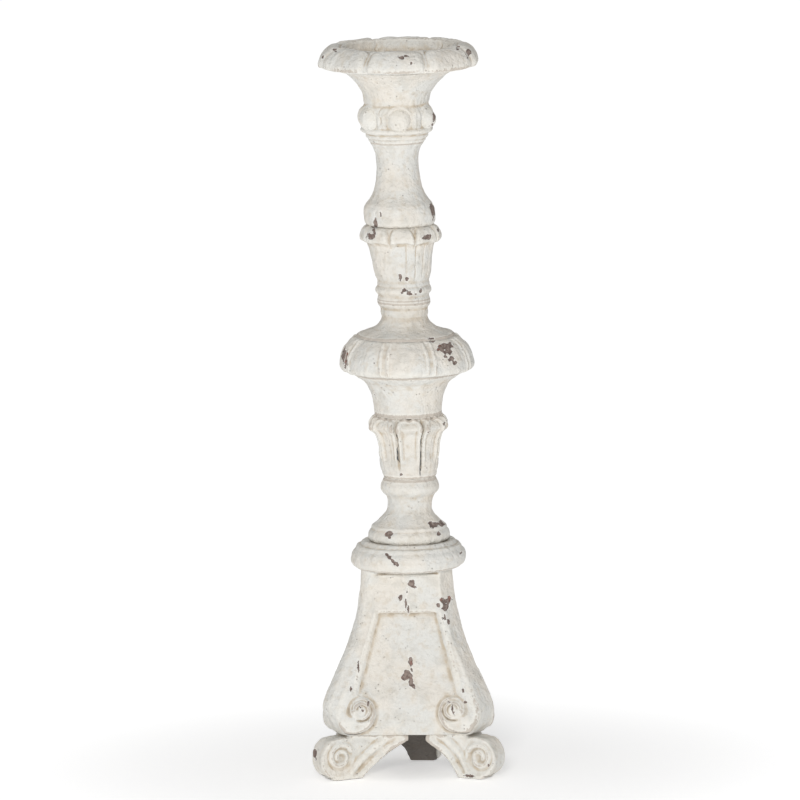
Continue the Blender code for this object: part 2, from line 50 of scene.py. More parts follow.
MM = 0.001
washer_low, washer_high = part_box("rod_washer")
AXIS = np.array([(washer_low.x + washer_high.x) / 2, (washer_low.y + washer_high.y) / 2, 0.0]) / MM
BODY_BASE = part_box("pedestal_body")[0].z / MM
FOOT_ANGLES = {"scroll_foot_1": -61.0, "scroll_foot_2": 61.5, "scroll_foot_3": 173.0}
FOOT_WIDTH = 20.0
FOOT_FINE = 0.85                # size of the fine mesh the feet are carved in
SCROLL_REACH, SCROLL_HEIGHT, SCROLL_RADIUS = 69.0, 18.0, 18.0
SPIRAL_OUTER, SPIRAL_INNER, SPIRAL_TURNS, SPIRAL_START = 11.5, 3.2, 1.45, 150.0
FLUSH = 41.7                    # how far out the lower edge of each pedestal face lies
BACK_SKEW = 5.0                 # the toe of the back foot stands a little to one side
JOINERY_RADIUS, SURFACE_RADIUS = 12.2, 15.0     # the first is never moved, the second always is
FRONT = 2.0                     # the angle that most chips face
NO_CHIP = -9.0                  # the chip value of sound paint
FAR_OFF = 1e3                   # farther away than anything here


def lumps(points, size, seed):
    """Smooth random lumps between -1 and 1, size millimetres across, at points in millimetres."""
    lattice = np.random.default_rng(seed).uniform(-1, 1, (32, 32, 32))
    place = points / size + 7.3
    cell = np.floor(place).astype(int)
    part = place - cell
    part = part * part * (3 - 2 * part)
    total = 0.0
    for dx in (0, 1):
        for dy in (0, 1):
            for dz in (0, 1):
                share = (np.where(dx, part[..., 0], 1 - part[..., 0])
                         * np.where(dy, part[..., 1], 1 - part[..., 1])
                         * np.where(dz, part[..., 2], 1 - part[..., 2]))
                corner = (cell + (dx, dy, dz)) % 32
                total = total + share * lattice[corner[..., 0], corner[..., 1], corner[..., 2]]
    return total


def step_up(value, low, high):
    """0 below low, 1 above high, smooth between."""
    part = np.clip((value - low) / (high - low), 0, 1)
    return part * part * (3 - 2 * part)


def ridge(distance, half_width):
    """A rounded ridge: 1 where distance is 0, 0 beyond half_width."""
    return np.clip(1 - (distance / half_width) ** 2, 0, 1) ** 1.5


def direction(angle):
    """Unit vector angle degrees round from the front, towards +X."""
    turn = math.radians(angle)
    return np.array([math.sin(turn), -math.cos(turn), 0.0])


def axis_distance(points):
    local = points - AXIS
    return np.hypot(local[:, 0], local[:, 1])


def girth_from(angle, at, radius):
    """Signed distance round the girth, in millimetres, from an upright line at so many degrees."""
    return ((angle - math.radians(at) + math.pi) % (2 * math.pi) - math.pi) * radius


def arc(radius, height, size, start, end, count=12):
    """Points of a round moulding about (radius, height): 0 degrees points out, 90 up."""
    turns = np.radians(np.linspace(start, end, count + 1))
    return [(radius + size * math.cos(a), height + size * math.sin(a)) for a in turns]


def mesh_arrays(mesh):
    points = np.empty(len(mesh.vertices) * 3)
    mesh.vertices.foreach_get("co", points)
    normals = np.empty(len(mesh.vertices) * 3)
    mesh.vertex_normals.foreach_get("vector", normals)
    return points.reshape(-1, 3) / MM, normals.reshape(-1, 3)


def set_points(mesh, points):
    mesh.vertices.foreach_set("co", (points * MM).ravel())
    mesh.update()


def relax(mesh, points, rounds):
    """Average each point with its neighbours."""
    pairs = np.empty(len(mesh.edges) * 2, dtype=np.int32)
    mesh.edges.foreach_get("vertices", pairs)
    pairs = pairs.reshape(-1, 2)
    ends = np.concatenate([pairs[:, 0], pairs[:, 1]])
    others = np.concatenate([pairs[:, 1], pairs[:, 0]])
    count = np.bincount(ends, minlength=len(points))[:, None]
    for _ in range(rounds):
        total = [np.bincount(ends, points[others, k], len(points)) for k in range(3)]
        points = (points + np.stack(total, axis=1) / count) / 2
    return points


def chip_places(points, normals, chips):
    """How far inside a paint chip each point lies, in millimetres; below 0 outside. A chip is
    (across, height, half width, half height, angle it faces), with across to the viewer's right."""
    inside = np.full(len(points), NO_CHIP)
    local = points - AXIS
    grit = lumps(points, 1.9, 3) * 1.3 + lumps(points, 4.2, 4) * 1.4 - 0.35
    for across, height, half_wide, half_high, angle in chips:
        toward = direction(angle)
        right = direction(angle + 90)
        off = np.hypot((local @ right - across) / half_wide, (local[:, 2] - height) / half_high)
        smaller = min(half_wide, half_high)
        depth = (1 - off) * smaller + grit * min(1.0, smaller / 3)
        shown = (normals @ toward > 0.05) & (local @ toward > 0)
        inside = np.maximum(inside, np.where(shown, depth, NO_CHIP))
    return inside


BOW_HEIGHTS = (0, 68, 177, 232, 295, 345, 387, 450, 467, 513, 560, 610)
BOW_OFFSETS = (0, 0.4, 1.4, 4.0, 3.5, 2.9, 1.6, -0.5, -1.2, -2.2, -2.6, 0.4)


def bowed(points):
    """The stack of sections isn't quite straight: shift the outsides sideways, not the joinery."""
    local = points - AXIS
    offset = np.interp(local[:, 2], BOW_HEIGHTS, BOW_OFFSETS)
    points = points.copy()
    points[:, 0] += offset * step_up(axis_distance(points), JOINERY_RADIUS, SURFACE_RADIUS)
    return points


def crack_places(points, cracks):
    """1 on a drying crack and 0 away from it. A crack is (angle, low, high, half width)."""
    local = points - AXIS
    angle = np.arctan2(local[:, 0], -local[:, 1])
    wander = 0.7 * lumps(points, 4.0, 7)
    found = np.zeros(len(points))
    for at, low, high, half in cracks:
        away = girth_from(angle, at, axis_distance(points)) + wander
        within = step_up(local[:, 2], low, low + 2) * step_up(high - local[:, 2], 0, 2)
        found = np.maximum(found, np.clip(1.3 - np.abs(away) / half, 0, 1) * within)
    return found


def stray_chips(points, count, seed):
    """Small chips at random places round the back."""
    draw = np.random.default_rng(seed)
    top, base, reach = points[:, 2].max(), points[:, 2].min(), axis_distance(points).max()
    chips = []
    for _ in range(count):
        size = draw.uniform(0.9, 2.6)
        angle, across = draw.uniform(135, 225), draw.uniform(-0.5, 0.5) * reach
        chips.append((across, draw.uniform(base, top), size, size * draw.uniform(0.6, 1.8), angle))
    return chips


def shade_under_places(points, normals):
    """1 on low faces that look down and on the rear foot behind the axis, which the paint darkens as painted
    shade, and 0 elsewhere.
    """
    depth, height = (points - AXIS)[:, 1], points[:, 2]
    under = step_up(-normals[:, 2], 0.7, 0.95) * step_up(44 - height, 0, 5)
    behind = step_up(depth, 4, 14) * step_up(60 - depth, 0, 12) * step_up(BODY_BASE + 1 - height, 0, 3)
    return np.maximum(under, behind)


def weather(mesh, chips=(), cracks=(), stray=0, seed=1, worn=3, open_top=False):
    """Worn edges, uneven gesso and paint chips, and the point attributes that the paint reads.
    Close to a joint with the next section the surface moves only sideways, so the joint stays
    shut. A chip with no angle of its own faces the front."""
    points, normals = mesh_arrays(mesh)
    worn_points = relax(mesh, points, worn)
    outside, level = axis_distance(points), points[:, 2]
    low, high = level[outside > 13].min(), level.max() + (99 if open_top else 0)
    loose = (step_up(outside, JOINERY_RADIUS, SURFACE_RADIUS)
             * step_up(np.minimum(level - low, high - level), 0.2, 1.4))
    points = points + (worn_points - points) * loose[:, None]
    chips = [(*chip, FRONT)[:5] for chip in chips] + stray_chips(points, stray, seed)
    inside = chip_places(points, normals, chips)
    cracked = crack_places(points, cracks)
    strokes = points * (1.0, 1.0, 0.55) + 3.0 * lumps(points, 14.0, 16)[:, None]
    uneven = (lumps(points, 19.0, 11) * 0.45 + lumps(points, 7.5, 12) * 0.34
              + lumps(strokes, 3.4, 15) * 0.3 + lumps(points, 1.9, 13) * 0.13)
    # hollow measures how deep each point lies in a dip; the paint fills dips with cream and tan, partly wax and
    # partly painted shade.
    hollow, wide_hollow = [((relax(mesh, points, rounds) - points) * normals).sum(axis=1)
                           for rounds in (10, 60)]
    sunk = 0.5 * step_up(inside, -0.2, 0.5) + 0.9 * cracked
    # The fourth mark is painted shade: it darkens faces that look down and the rear foot.
    marks = {"chip": inside, "hollow": (hollow * 2.8 + wide_hollow * 0.8) * loose, "crack": cracked,
             "under_shade": shade_under_places(points, normals)}
    push = normals * np.stack([np.ones_like(loose), np.ones_like(loose), loose], axis=1)
    push /= np.maximum(np.linalg.norm(push, axis=1), 0.4)[:, None]
    points = bowed(points + push * (uneven - sunk)[:, None])
    points[:, 2] = np.maximum(points[:, 2], 0.0)
    set_points(mesh, points)
    for name, values in marks.items():
        attribute = mesh.attributes.new(name, "FLOAT", "POINT")
        attribute.data.foreach_set("value", values.astype(np.float32))


def linear(hex_colour):
    """sRGB hex to the linear colour that shaders take."""
    parts = [int(hex_colour[i:i + 2], 16) / 255 for i in (1, 3, 5)]
    return (*[c / 12.92 if c <= 0.04045 else ((c + 0.055) / 1.055) ** 2.4 for c in parts], 1.0)


def add_node(tree, kind, settings=None, values=None, links=None):
    """Add a node, set its properties and socket values, and link its inputs from other sockets."""
    node = tree.nodes.new(kind)
    for name, value in (settings or {}).items():
        setattr(node, name, value)
    for name, value in (values or {}).items():
        node.inputs[name].default_value = value
    for name, source in (links or {}).items():
        tree.links.new(source, node.inputs[name])
    return node


def blend_colour(tree, amount, first, second):
    """Mix two colours, each a linked socket or a fixed colour, by a linked amount."""
    node = add_node(tree, "ShaderNodeMix", {"data_type": "RGBA"}, links={0: amount})
    for index, colour in ((6, first), (7, second)):
        if isinstance(colour, tuple):
            node.inputs[index].default_value = colour
        else:
            tree.links.new(colour, node.inputs[index])
    return node.outputs[2]


def remap(tree, source, low, high, to_low=0.0, to_high=1.0):
    limits = {"From Min": low, "From Max": high, "To Min": to_low, "To Max": to_high}
    smooth = {"interpolation_type": "SMOOTHSTEP"}
    return add_node(tree, "ShaderNodeMapRange", smooth, limits, {"Value": source}).outputs[0]


def noise(tree, where, size_mm, detail=3.0, rough=0.55):
    values = {"Scale": 1 / (size_mm * MM), "Detail": detail, "Roughness": rough}
    return add_node(tree, "ShaderNodeTexNoise", values=values, links={"Vector": where}).outputs[0]


def maths(tree, operation, first, second):
    node = add_node(tree, "ShaderNodeMath", {"operation": operation})
    for index, value in enumerate((first, second)):
        if isinstance(value, (int, float)):
            node.inputs[index].default_value = value
        else:
            tree.links.new(value, node.inputs[index])
    return node.outputs[0]


def about(tree, source, middle, gain):
    """How far a pattern lies above its middle, times gain."""
    return maths(tree, "MULTIPLY", maths(tree, "SUBTRACT", source, middle), gain)


def new_material(name):
    """A material, its node tree, its shader and the piece's own coordinates."""
    made = bpy.data.materials.new(name)
    made.use_nodes = True
    tree = made.node_tree
    where = add_node(tree, "ShaderNodeTexCoord").outputs["Object"]
    return made, tree, tree.nodes["Principled BSDF"], where


# The last mark is painted shade under and behind the feet.
MARKS = ("chip", "hollow", "crack", "under_shade")
WARM_WHITE, COOL_WHITE, RUBBED_WHITE, CHIP_RIM = "#E1DCD3", "#DDDCD7", "#EAE7DF", "#F1EFEA"
# The wax colours are cream and tan for the hollows: partly wax left in them, partly painted shade.
CREAM, GREYED, HOLLOW_WAX_AND_SHADE, DEEP_WAX_AND_SHADE = "#CFC5B5", "#CCC9C1", "#C2B49F", "#8F8273"
# The last colour of this line is a dark taupe painted on as shade under and behind the feet.
RUBBED_THROUGH, PITTED, CRACKED, UNDER_SHADE_COLOUR = "#A08D7B", "#978B7E", "#5F6265", "#4E463F"
BARE_WOOD, PALE_WOOD, RED_WOOD, SHADED_WOOD = "#74655E", "#968880", "#96604F", "#5B4C45"


def chalk_paint():
    """Chalk paint brushed over gesso on wood: dead matt off-white, cream and tan in the hollows, partly from
    wax and partly painted shade, dark painted shade under the feet, fine pits from bubbles in the gesso,
    and bare taupe wood where it chipped."""
    made, tree, shader, where = new_material("chalk_paint_over_gesso")
    chip, hollow, crack, under_shade = [
        add_node(tree, "ShaderNodeAttribute", {"attribute_name": mark}).outputs["Fac"] for mark in MARKS]
    clouds = noise(tree, where, 34.0)
    mottle = noise(tree, where, 6.0, 4.0)
    grit = noise(tree, where, 1.3, 3.0)
    speck = noise(tree, where, 2.6, 2.0)

    paint = blend_colour(tree, remap(tree, clouds, 0.42, 0.6), linear(WARM_WHITE), linear(COOL_WHITE))
    paint = blend_colour(tree, remap(tree, mottle, 0.48, 0.72, 0.0, 0.55), paint, linear(CREAM))
    greyed = remap(tree, noise(tree, where, 15.0, 4.0), 0.5, 0.7, 0.0, 0.6)
    paint = blend_colour(tree, greyed, paint, linear(GREYED))
    patchy = remap(tree, noise(tree, where, 8.0, 3.0), 0.36, 0.62, 0.35, 1.0)
    # Cream and tan in the hollows: partly wax left in them, partly painted shade where they lie in shadow.
    wax_and_shade = maths(tree, "ADD", hollow, about(tree, mottle, 0.5, 0.7))
    for wax_and_shade_colour, low, high, most in ((HOLLOW_WAX_AND_SHADE, 0.05, 1.0, 0.9), (DEEP_WAX_AND_SHADE, 0.9, 2.6, 0.5)):
        settled_wax_and_shade = maths(tree, "MULTIPLY", remap(tree, wax_and_shade, low, high, 0.0, most), patchy)
        paint = blend_colour(tree, settled_wax_and_shade, paint, linear(wax_and_shade_colour))
    worn = maths(tree, "MULTIPLY", hollow, -1.0)
    paint = blend_colour(tree, remap(tree, worn, 0.3, 1.2, 0.0, 0.55), paint, linear(RUBBED_WHITE))
    rubbed = maths(tree, "ADD", worn, about(tree, speck, 0.62, 3.0))
    paint = blend_colour(tree, remap(tree, rubbed, 1.35, 2.0, 0.0, 0.45), paint, linear(RUBBED_THROUGH))

    cells = add_node(tree, "ShaderNodeTexVoronoi", {"feature": "F1"},
                     {"Scale": 1 / (4.2 * MM), "Randomness": 1.0}, {"Vector": where})
    keep = remap(tree, noise(tree, where, 16.0, 2.0), 0.47, 0.6)
    pit = maths(tree, "MULTIPLY", remap(tree, cells.outputs["Distance"], 0.15, 0.07), keep)
    paint = blend_colour(tree, maths(tree, "MULTIPLY", pit, 0.6), paint, linear(PITTED))
    cracked = remap(tree, maths(tree, "ADD", crack, about(tree, speck, 0.5, 1.2)), 0.4, 0.8)
    paint = blend_colour(tree, cracked, paint, linear(CRACKED))
    # Painted shade: dark taupe, mottled a little, on faces that look down and on the rear foot.
    mottled_under_shade = maths(tree, "ADD", under_shade, maths(tree, "MULTIPLY", mottle, 0.3))
    paint = blend_colour(tree, remap(tree, mottled_under_shade, 0.3, 1.0, 0.0, 0.92), paint, linear(UNDER_SHADE_COLOUR))

    edge = maths(tree, "ADD", chip, about(tree, grit, 0.5, 2.0))
    bare = remap(tree, edge, -0.06, 0.06)
    wood = blend_colour(tree, remap(tree, speck, 0.38, 0.62), linear(BARE_WOOD), linear(PALE_WOOD))
    reddish = remap(tree, noise(tree, where, 9.0, 2.0), 0.58, 0.7, 0.0, 0.5)
    wood = blend_colour(tree, reddish, wood, linear(RED_WOOD))
    wood = blend_colour(tree, remap(tree, edge, 0.4, 0.0, 0.0, 0.6), wood, linear(SHADED_WOOD))
    halo = blend_colour(tree, remap(tree, edge, -0.9, -0.1, 0.0, 0.6), paint, linear(CHIP_RIM))
    tree.links.new(blend_colour(tree, bare, halo, wood), shader.inputs["Base Color"])
    shader.inputs["Roughness"].default_value = 0.78
    shader.inputs["Specular IOR Level"].default_value = 0.3

    crease = maths(tree, "ABSOLUTE", maths(tree, "SUBTRACT", noise(tree, where, 7.0, 3.0), 0.5), 0.0)
    relief = maths(tree, "MULTIPLY", grit, 0.16)
    for pattern, rise in ((mottle, 0.6), (speck, 0.3), (crease, 1.7), (pit, -0.6), (bare, -0.5)):
        relief = maths(tree, "ADD", relief, maths(tree, "MULTIPLY", pattern, rise))
    bump = add_node(tree, "ShaderNodeBump", values={"Strength": 0.9, "Distance": 1.7 * MM},
                    links={"Height": relief})
    tree.links.new(bump.outputs[0], shader.inputs["Normal"])
    return made


PAINT = chalk_paint()


def finish_piece(name, mesh, *nodes):
    """Paint the mesh and put it in the place of its CAD nodes."""
    mesh.materials.clear()
    mesh.materials.append(PAINT)
    mesh.shade_smooth()
    mesh.set_sharp_from_angle(angle=math.radians(60))
    piece = bpy.data.objects.new(name, mesh)
    bpy.context.scene.collection.objects.link(piece)
    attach(piece, "root")
    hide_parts(*nodes)


def taken_from(holder):
    """The finished mesh of an object with modifiers, which is then removed."""
    mesh = bpy.data.meshes.new_from_object(holder.evaluated_get(bpy.context.evaluated_depsgraph_get()))
    bpy.data.objects.remove(holder, do_unlink=True)
    return mesh


def remeshed(bm, size):
    """A closed shape as an even fine mesh, through a voxel Remesh modifier."""
    mesh = bpy.data.meshes.new("rough")
    bm.to_mesh(mesh)
    bm.free()
    rough = bpy.data.objects.new("rough", mesh)
    bpy.context.scene.collection.objects.link(rough)
    voxels = rough.modifiers.new("fine", "REMESH")
    voxels.mode = "VOXEL"
    voxels.voxel_size = size * MM
    return taken_from(rough)


# The arches were cut by eye: each shift moves the underside out by so much at these heights.
ARCH_HEIGHTS = (0, 7, 14, 21, 28, 32.4)
ARCH_SHIFTS = {"scroll_foot_1": (0, -1.5, -4, -6, -8, -9), "scroll_foot_2": (2.5, 4.4, 6, 6.8, 6.2, 9),
               "scroll_foot_3": (0, 0, 0, 0, 0, 0)}
SCROLL_CENTRES = {"scroll_foot_1": (SCROLL_REACH + 0.8, SCROLL_HEIGHT + 1.8),
                  "scroll_foot_2": (SCROLL_REACH + 4.4, SCROLL_HEIGHT + 0.8),
                  "scroll_foot_3": (SCROLL_REACH, SCROLL_HEIGHT)}
ARCH_POINTS, ARCH_ROOT = 16, 13.0
FOOT_CHIPS = {
    "scroll_foot_1": [(-79.5, 22.0, 1.6, 4.5), (-62.0, 5.0, 1.2, 2.2, -20)],
    "scroll_foot_2": [(48.5, 2.5, 6.0, 1.1), (65.5, 13.0, 1.0, 1.5)],
}


def foot_outline(name):
    """Side outline of a foot as (reach, height): root, arch and sole, then up round the toe."""
    outline = [(ARCH_ROOT + ARCH_SHIFTS[name][-1], BODY_BASE + 0.8)]
    for reach in np.linspace(ARCH_ROOT, 48.8, ARCH_POINTS):
        height = max(0.0, 35.2 * (1 - (reach / 49.0) ** 1.9))
        outline.append((reach + np.interp(height, ARCH_HEIGHTS, ARCH_SHIFTS[name]), height))
    outline += arc(SCROLL_REACH, SCROLL_HEIGHT, SCROLL_RADIUS, -100, 62, 36)
    outline += [(73.0, 34.6), (68.0, 35.6), (62.5, 34.8), (60.5, 36.0), (60.5, BODY_BASE + 0.8)]
    return outline


def spiral_distance(centre, reach, height, count=110):
    """Distance from each (reach, height) to the spiral that winds in round the scroll's centre."""
    best = np.full(reach.shape, FAR_OFF)
    for part in np.linspace(0, 1, count):
        angle = math.radians(SPIRAL_START) - part * SPIRAL_TURNS * 2 * math.pi
        radius = SPIRAL_OUTER + (SPIRAL_INNER - SPIRAL_OUTER) * part ** 0.8
        line = (centre[0] + radius * math.cos(angle), centre[1] + radius * math.sin(angle))
        best = np.minimum(best, np.hypot(reach - line[0], height - line[1]))
    return best


def scroll_foot(name, angle):
    """Saw the outline out of the plank, carve its sides, widen its root and flatten its sole."""
    out, across = direction(angle), direction(angle + 90)
    bm = bmesh.new()
    outline = foot_outline(name)
    rings = []
    for side in (-1, 1):
        middle = AXIS + across * side * FOOT_WIDTH / 2
        rings.append([bm.verts.new((middle + out * reach + (0, 0, height)) * MM) for reach, height in outline])
    bm.faces.new(rings[0])
    bm.faces.new(rings[1][::-1])
    for i in range(len(outline)):
        j = (i + 1) % len(outline)
        bm.faces.new((rings[0][j], rings[0][i], rings[1][i], rings[1][j]))
    bmesh.ops.recalc_face_normals(bm, faces=bm.faces)
    mesh = remeshed(bm, FOOT_FINE)
    points, normals = mesh_arrays(mesh)
    points = relax(mesh, points, 7)
    local = points - AXIS
    reach, height, side = local @ out, local[:, 2], local @ across
    on_side = step_up(np.abs(normals @ across), 0.55, 0.85)
    centre = SCROLL_CENTRES[name]
    spiral = spiral_distance(centre, reach, height)
    away = np.hypot(reach - centre[0], height - centre[1])
    carved = 2.6 * ridge(spiral, 2.7) - 0.8 * step_up(13.5 - away, 0, 2.5) + 0.9 * step_up(away, 15.0, 17.2)
    rim = np.array(outline[1:ARCH_POINTS + 1])
    edge = np.min(np.hypot(reach[:, None] - rim[:, 0], height[:, None] - rim[:, 1]), axis=1)
    along_leg = step_up(height, 1.0, 6.0) * step_up(away, 12.0, 16.0) * step_up(64 - reach, 0, 6)
    for rise, inward, half_width in ((1.0, 2.6, 3.2), (-1.4, 8.0, 2.8), (0.9, 12.5, 3.4), (-1.0, 17.0, 2.4)):
        carved += along_leg * rise * ridge(edge - inward, half_width)
    points = points + across * (np.sign(side) * on_side * carved)[:, None]
    widened = np.maximum(0, FLUSH - reach / 2 - FOOT_WIDTH * math.sqrt(3) / 4) * step_up(height, 6, 30)
    for face in (-1, 1):
        share = np.clip(side * face / (FOOT_WIDTH / 2), 0, 1)
        points = points + direction(angle + 60 * face) * (widened * share)[:, None]
    if name == "scroll_foot_3":
        points[:, 0] += BACK_SKEW * step_up(reach, ARCH_ROOT, 73)
    sole = step_up(2.2 - height, 0.0, 1.6)
    points[:, 2] = points[:, 2] * (1 - sole)
    set_points(mesh, points)
    weather(mesh, FOOT_CHIPS.get(name, ()), stray=5 if name == "scroll_foot_3" else 1, seed=int(angle) + 90)
    finish_piece(name + "_carved", mesh, name)


for foot_name, foot_angle in FOOT_ANGLES.items():
    scroll_foot(foot_name, foot_angle)

# ---- Pedestal and its corner ribs -----------------------------------------------------------
# A three-sided block glued up from boards. Each face is carved with a sunk panel and two volutes,
# and an S-shaped rib is glued down each corner, flush with the faces beside it.

PLATE_LIFT = 3.6                # the painted joint shows a little above the wooden one
BODY_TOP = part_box("pedestal_body")[1].z / MM + PLATE_LIFT
BELLY = 57.0
RIB_WIDTH = 22.0
RIB_THICKNESS = 6.0
SOFTNESS = (3.6, 0.7, 1.6)      # rounding of each corner's two edges
LEFT_FULLNESS = 4.6             # the left corner is fuller than the right
LEFT_CORNER = -60.0
CORNER_TURNS = (LEFT_CORNER, 60.0, 180.0)
FACE_TURNS = (0.0, 120.0, -120.0)
FACE_COLUMNS, RIB_COLUMNS = 136, 26
ROWS_ABOVE, ROWS_BELOW = 128, 40            # either side of a line just over the belly
VOLUTE_HEIGHT, VOLUTE_OFFSET = 60.2, 38.0


def rib_reach(height):
    """Outward reach of a corner: an S-curve down to the belly, then back under it."""
    part = np.clip((BODY_TOP - height) / (BODY_TOP - BELLY), 0, 1)
    above = 37.5 + 38.5 * part ** 2 * (1.28 - 0.28 * part ** 6)
    under = np.clip((BELLY - height) / (BELLY - BODY_BASE), 0, 1)
    return above - 10.0 * under ** 2.2


def face_distance(height):
    return rib_reach(height) / 2 + RIB_WIDTH * math.sqrt(3) / 4


def degrees_off(angle, turn):
    return np.abs((angle - turn + 180) % 360 - 180)


def pedestal_radius(angle, height):
    """Radius of the rounded three-sided section, angles in degrees from the front."""
    softness = np.zeros_like(angle)
    for corner, soft in zip(CORNER_TURNS, SOFTNESS):
        softness = np.where(degrees_off(angle, corner) <= 60, soft, softness)
    planes = []
    for turn in FACE_TURNS + CORNER_TURNS:
        flat = face_distance(height) if turn in FACE_TURNS else rib_reach(height)
        if turn == LEFT_CORNER:
            flat = flat + LEFT_FULLNESS * step_up(height, 46, 68)
        lean = np.cos(np.radians(angle - turn))
        planes.append(np.where(lean > 0.2, flat / np.maximum(lean, 0.2), FAR_OFF))
    nearest = np.min(planes, axis=0)
    total = sum(np.exp(-(plane - nearest) / softness) for plane in planes)
    return nearest - softness * np.log(total)


def face_relief(across, height):
    """Height of the carving on a face, above the plain face, in millimetres."""
    half = 25.6 + (139.5 - height) * 0.275
    sides = step_up(half - np.abs(across), 0.0, 4.2)
    panel = -3.2 * sides * step_up(139.6 - height, 0.0, 1.8) * step_up(height, 66.0, 86.0)
    bevel = (0.9 * ridge(half - np.abs(across) + 1.8, 2.4)
             * step_up(height, 74, 90) * step_up(141 - height, 0, 3))
    swell = 1.4 * step_up(np.abs(across), 34, 52) * step_up(112 - height, 0, 50)
    seam = (-2.0 * ridge(height - BODY_TOP + 1.6 + 0.0016 * (across - 2) ** 2, 1.2)
            * step_up(30 - np.abs(across - 2), 0, 4))
    rise, run = height - VOLUTE_HEIGHT, VOLUTE_OFFSET - np.abs(across)
    away, turn = np.hypot(rise, run), np.degrees(np.arctan2(rise, run))
    outer = np.interp(turn, (-180, -135, -90, -45, 0, 90, 160, 180),
                      (34, 26, 19.5, 14.6, 11.8, 10.2, 9.6, 9.4))
    inner = np.interp(turn, (-180, -90, 0, 90, 180), (9.4, 9.0, 8.6, 8.2, 7.8))
    scroll = 3.8 * step_up(outer - away, -0.4, 1.5) * step_up(turn, -176, -125)
    scroll = np.maximum(scroll, 3.8 * step_up(9.8 - away, -0.4, 1.4))
    scroll -= 3.0 * ridge(away - inner, 1.5) * step_up(np.abs(turn + 150), 20, 60)
    eye = np.interp(turn, (-180, 0, 180), (5.6, 4.6, 3.6))
    scroll -= 2.2 * ridge(away - eye, 1.3) * step_up(turn, -120, 20)
    blank = step_up(away, 9.0, 14.0)
    return (panel + bevel + swell) * blank + seam + scroll


def pedestal_rows():
    """Heights of the rows of the pedestal's fine grid, from its top to its base."""
    middle = BELLY + 8
    below = BODY_BASE + (middle - BODY_BASE) * np.linspace(1, 0, ROWS_BELOW)[1:]
    return np.concatenate([np.linspace(BODY_TOP, middle, ROWS_ABOVE), below])


def pedestal_point(angle, height, inset=0.0):
    """Points on the carved surface; angle in degrees from the front and height are grids."""
    radius = pedestal_radius(angle, height) - inset
    turn = np.radians(angle)
    points = np.stack([radius * np.sin(turn), -radius * np.cos(turn), height], axis=-1)
    if inset:
        return points
    for face in FACE_TURNS:
        out, right = direction(face), direction(face + 90)
        here = degrees_off(angle, face) < 60
        relief = face_relief(points @ right, height)
        edge = rib_reach(height) * math.sin(math.radians(60)) - RIB_WIDTH / 4
        fade = step_up(edge - np.abs(points @ right), -1.0, 3.5)
        points = points + out * np.where(here, relief * fade, 0.0)[..., None]
    return points


def closed_grid(rings, ends=True, values=None):
    """Mesh from rings of points, each a closed loop, with the ends capped and point values if wanted."""
    rows, columns = rings.shape[:2]
    points = rings.reshape(-1, 3)
    index = np.arange(rows * columns).reshape(rows, columns)
    after = np.roll(index, -1, axis=1)
    quads = np.stack([index[:-1], index[1:], after[1:], after[:-1]], axis=-1).reshape(-1, 4)
    faces = quads.tolist()
    if ends:
        faces.append(index[0].tolist())
        faces.append(index[-1][::-1].tolist())
    mesh = bpy.data.meshes.new("grid")
    mesh.from_pydata((points * MM).tolist(), [], faces)
    for name, grid in (values or {}).items():
        mesh.attributes.new(name, "FLOAT", "POINT").data.foreach_set("value", grid.astype(np.float32).ravel())
    bm = bmesh.new()
    bm.from_mesh(mesh)
    bmesh.ops.remove_doubles(bm, verts=bm.verts, dist=1e-6)
    bmesh.ops.triangulate(bm, faces=[f for f in bm.faces if len(f.verts) > 4])
    bmesh.ops.recalc_face_normals(bm, faces=bm.faces)
    bm.to_mesh(mesh)
    bm.free()
    return mesh


heights = pedestal_rows()[:, None]
half_rib = np.degrees(np.arctan2(RIB_WIDTH / 2, rib_reach(heights)))
skin_angles, back_angles = [], []
for start, end in ((-60.0, 60.0), (60.0, 180.0), (180.0, 300.0)):
    for low, high, count in ((start + half_rib, end - half_rib, FACE_COLUMNS),
                             (end - half_rib, end + half_rib, RIB_COLUMNS)):
        skin_angles.append(low + (high - low) * np.arange(count)[None] / count)
    back_angles.append(end - half_rib + 2 * half_rib * np.arange(RIB_COLUMNS + 1)[None] / RIB_COLUMNS)
skin_angles = np.concatenate(skin_angles, axis=1)
skin = closed_grid(pedestal_point(skin_angles, heights + 0 * skin_angles) + AXIS, ends=False)
TOP_JOINT_CRACK = (-24, 166.8, 169.6, 4)
BODY_CHIPS = [
    (3.4, 163, 2.8, 2.6), (5.2, 160.5, 2.2, 1.2), (-1.2, 157, 0.8, 2.2), (-6.3, 151, 1.9, 2.4),
    (-2.2, 146.5, 0.7, 3.6), (-0.2, 141, 0.7, 2.8), (29.5, 147, 2.8, 3.6), (33.0, 148, 2.6, 3.8),
    (31.0, 143, 3.8, 3.0), (25.5, 145, 2.0, 2.0), (30.5, 136, 1.0, 3.4), (33.2, 131, 1.3, 2.6),
    (28.0, 134, 0.7, 1.2), (1.5, 97.5, 2.0, 5.0), (2.2, 91.5, 1.4, 3.0), (-0.5, 88.5, 3.4, 3.2),
    (-3.5, 86, 3.4, 2.8), (1.5, 82, 2.0, 3.0), (4.4, 78, 1.5, 2.4), (-42, 96, 0.8, 3.6),
    (-48.5, 77, 1.0, 2.4), (45, 76, 0.9, 3.8), (46.6, 66, 1.3, 1.3), (-40.8, 63.5, 1.0, 1.5),
    (-38.6, 60.5, 1.4, 1.2), (-34.0, 66, 0.8, 1.6), (35.6, 62, 0.9, 2.8), (33.6, 66.5, 1.8, 0.7),
    (36.8, 58.5, 0.7, 2.0),
]
weather(skin, BODY_CHIPS, [TOP_JOINT_CRACK], stray=12, seed=21, worn=1)
skin_points = mesh_arrays(skin)[0].reshape(len(heights), -1, 3)
skin_values = {}
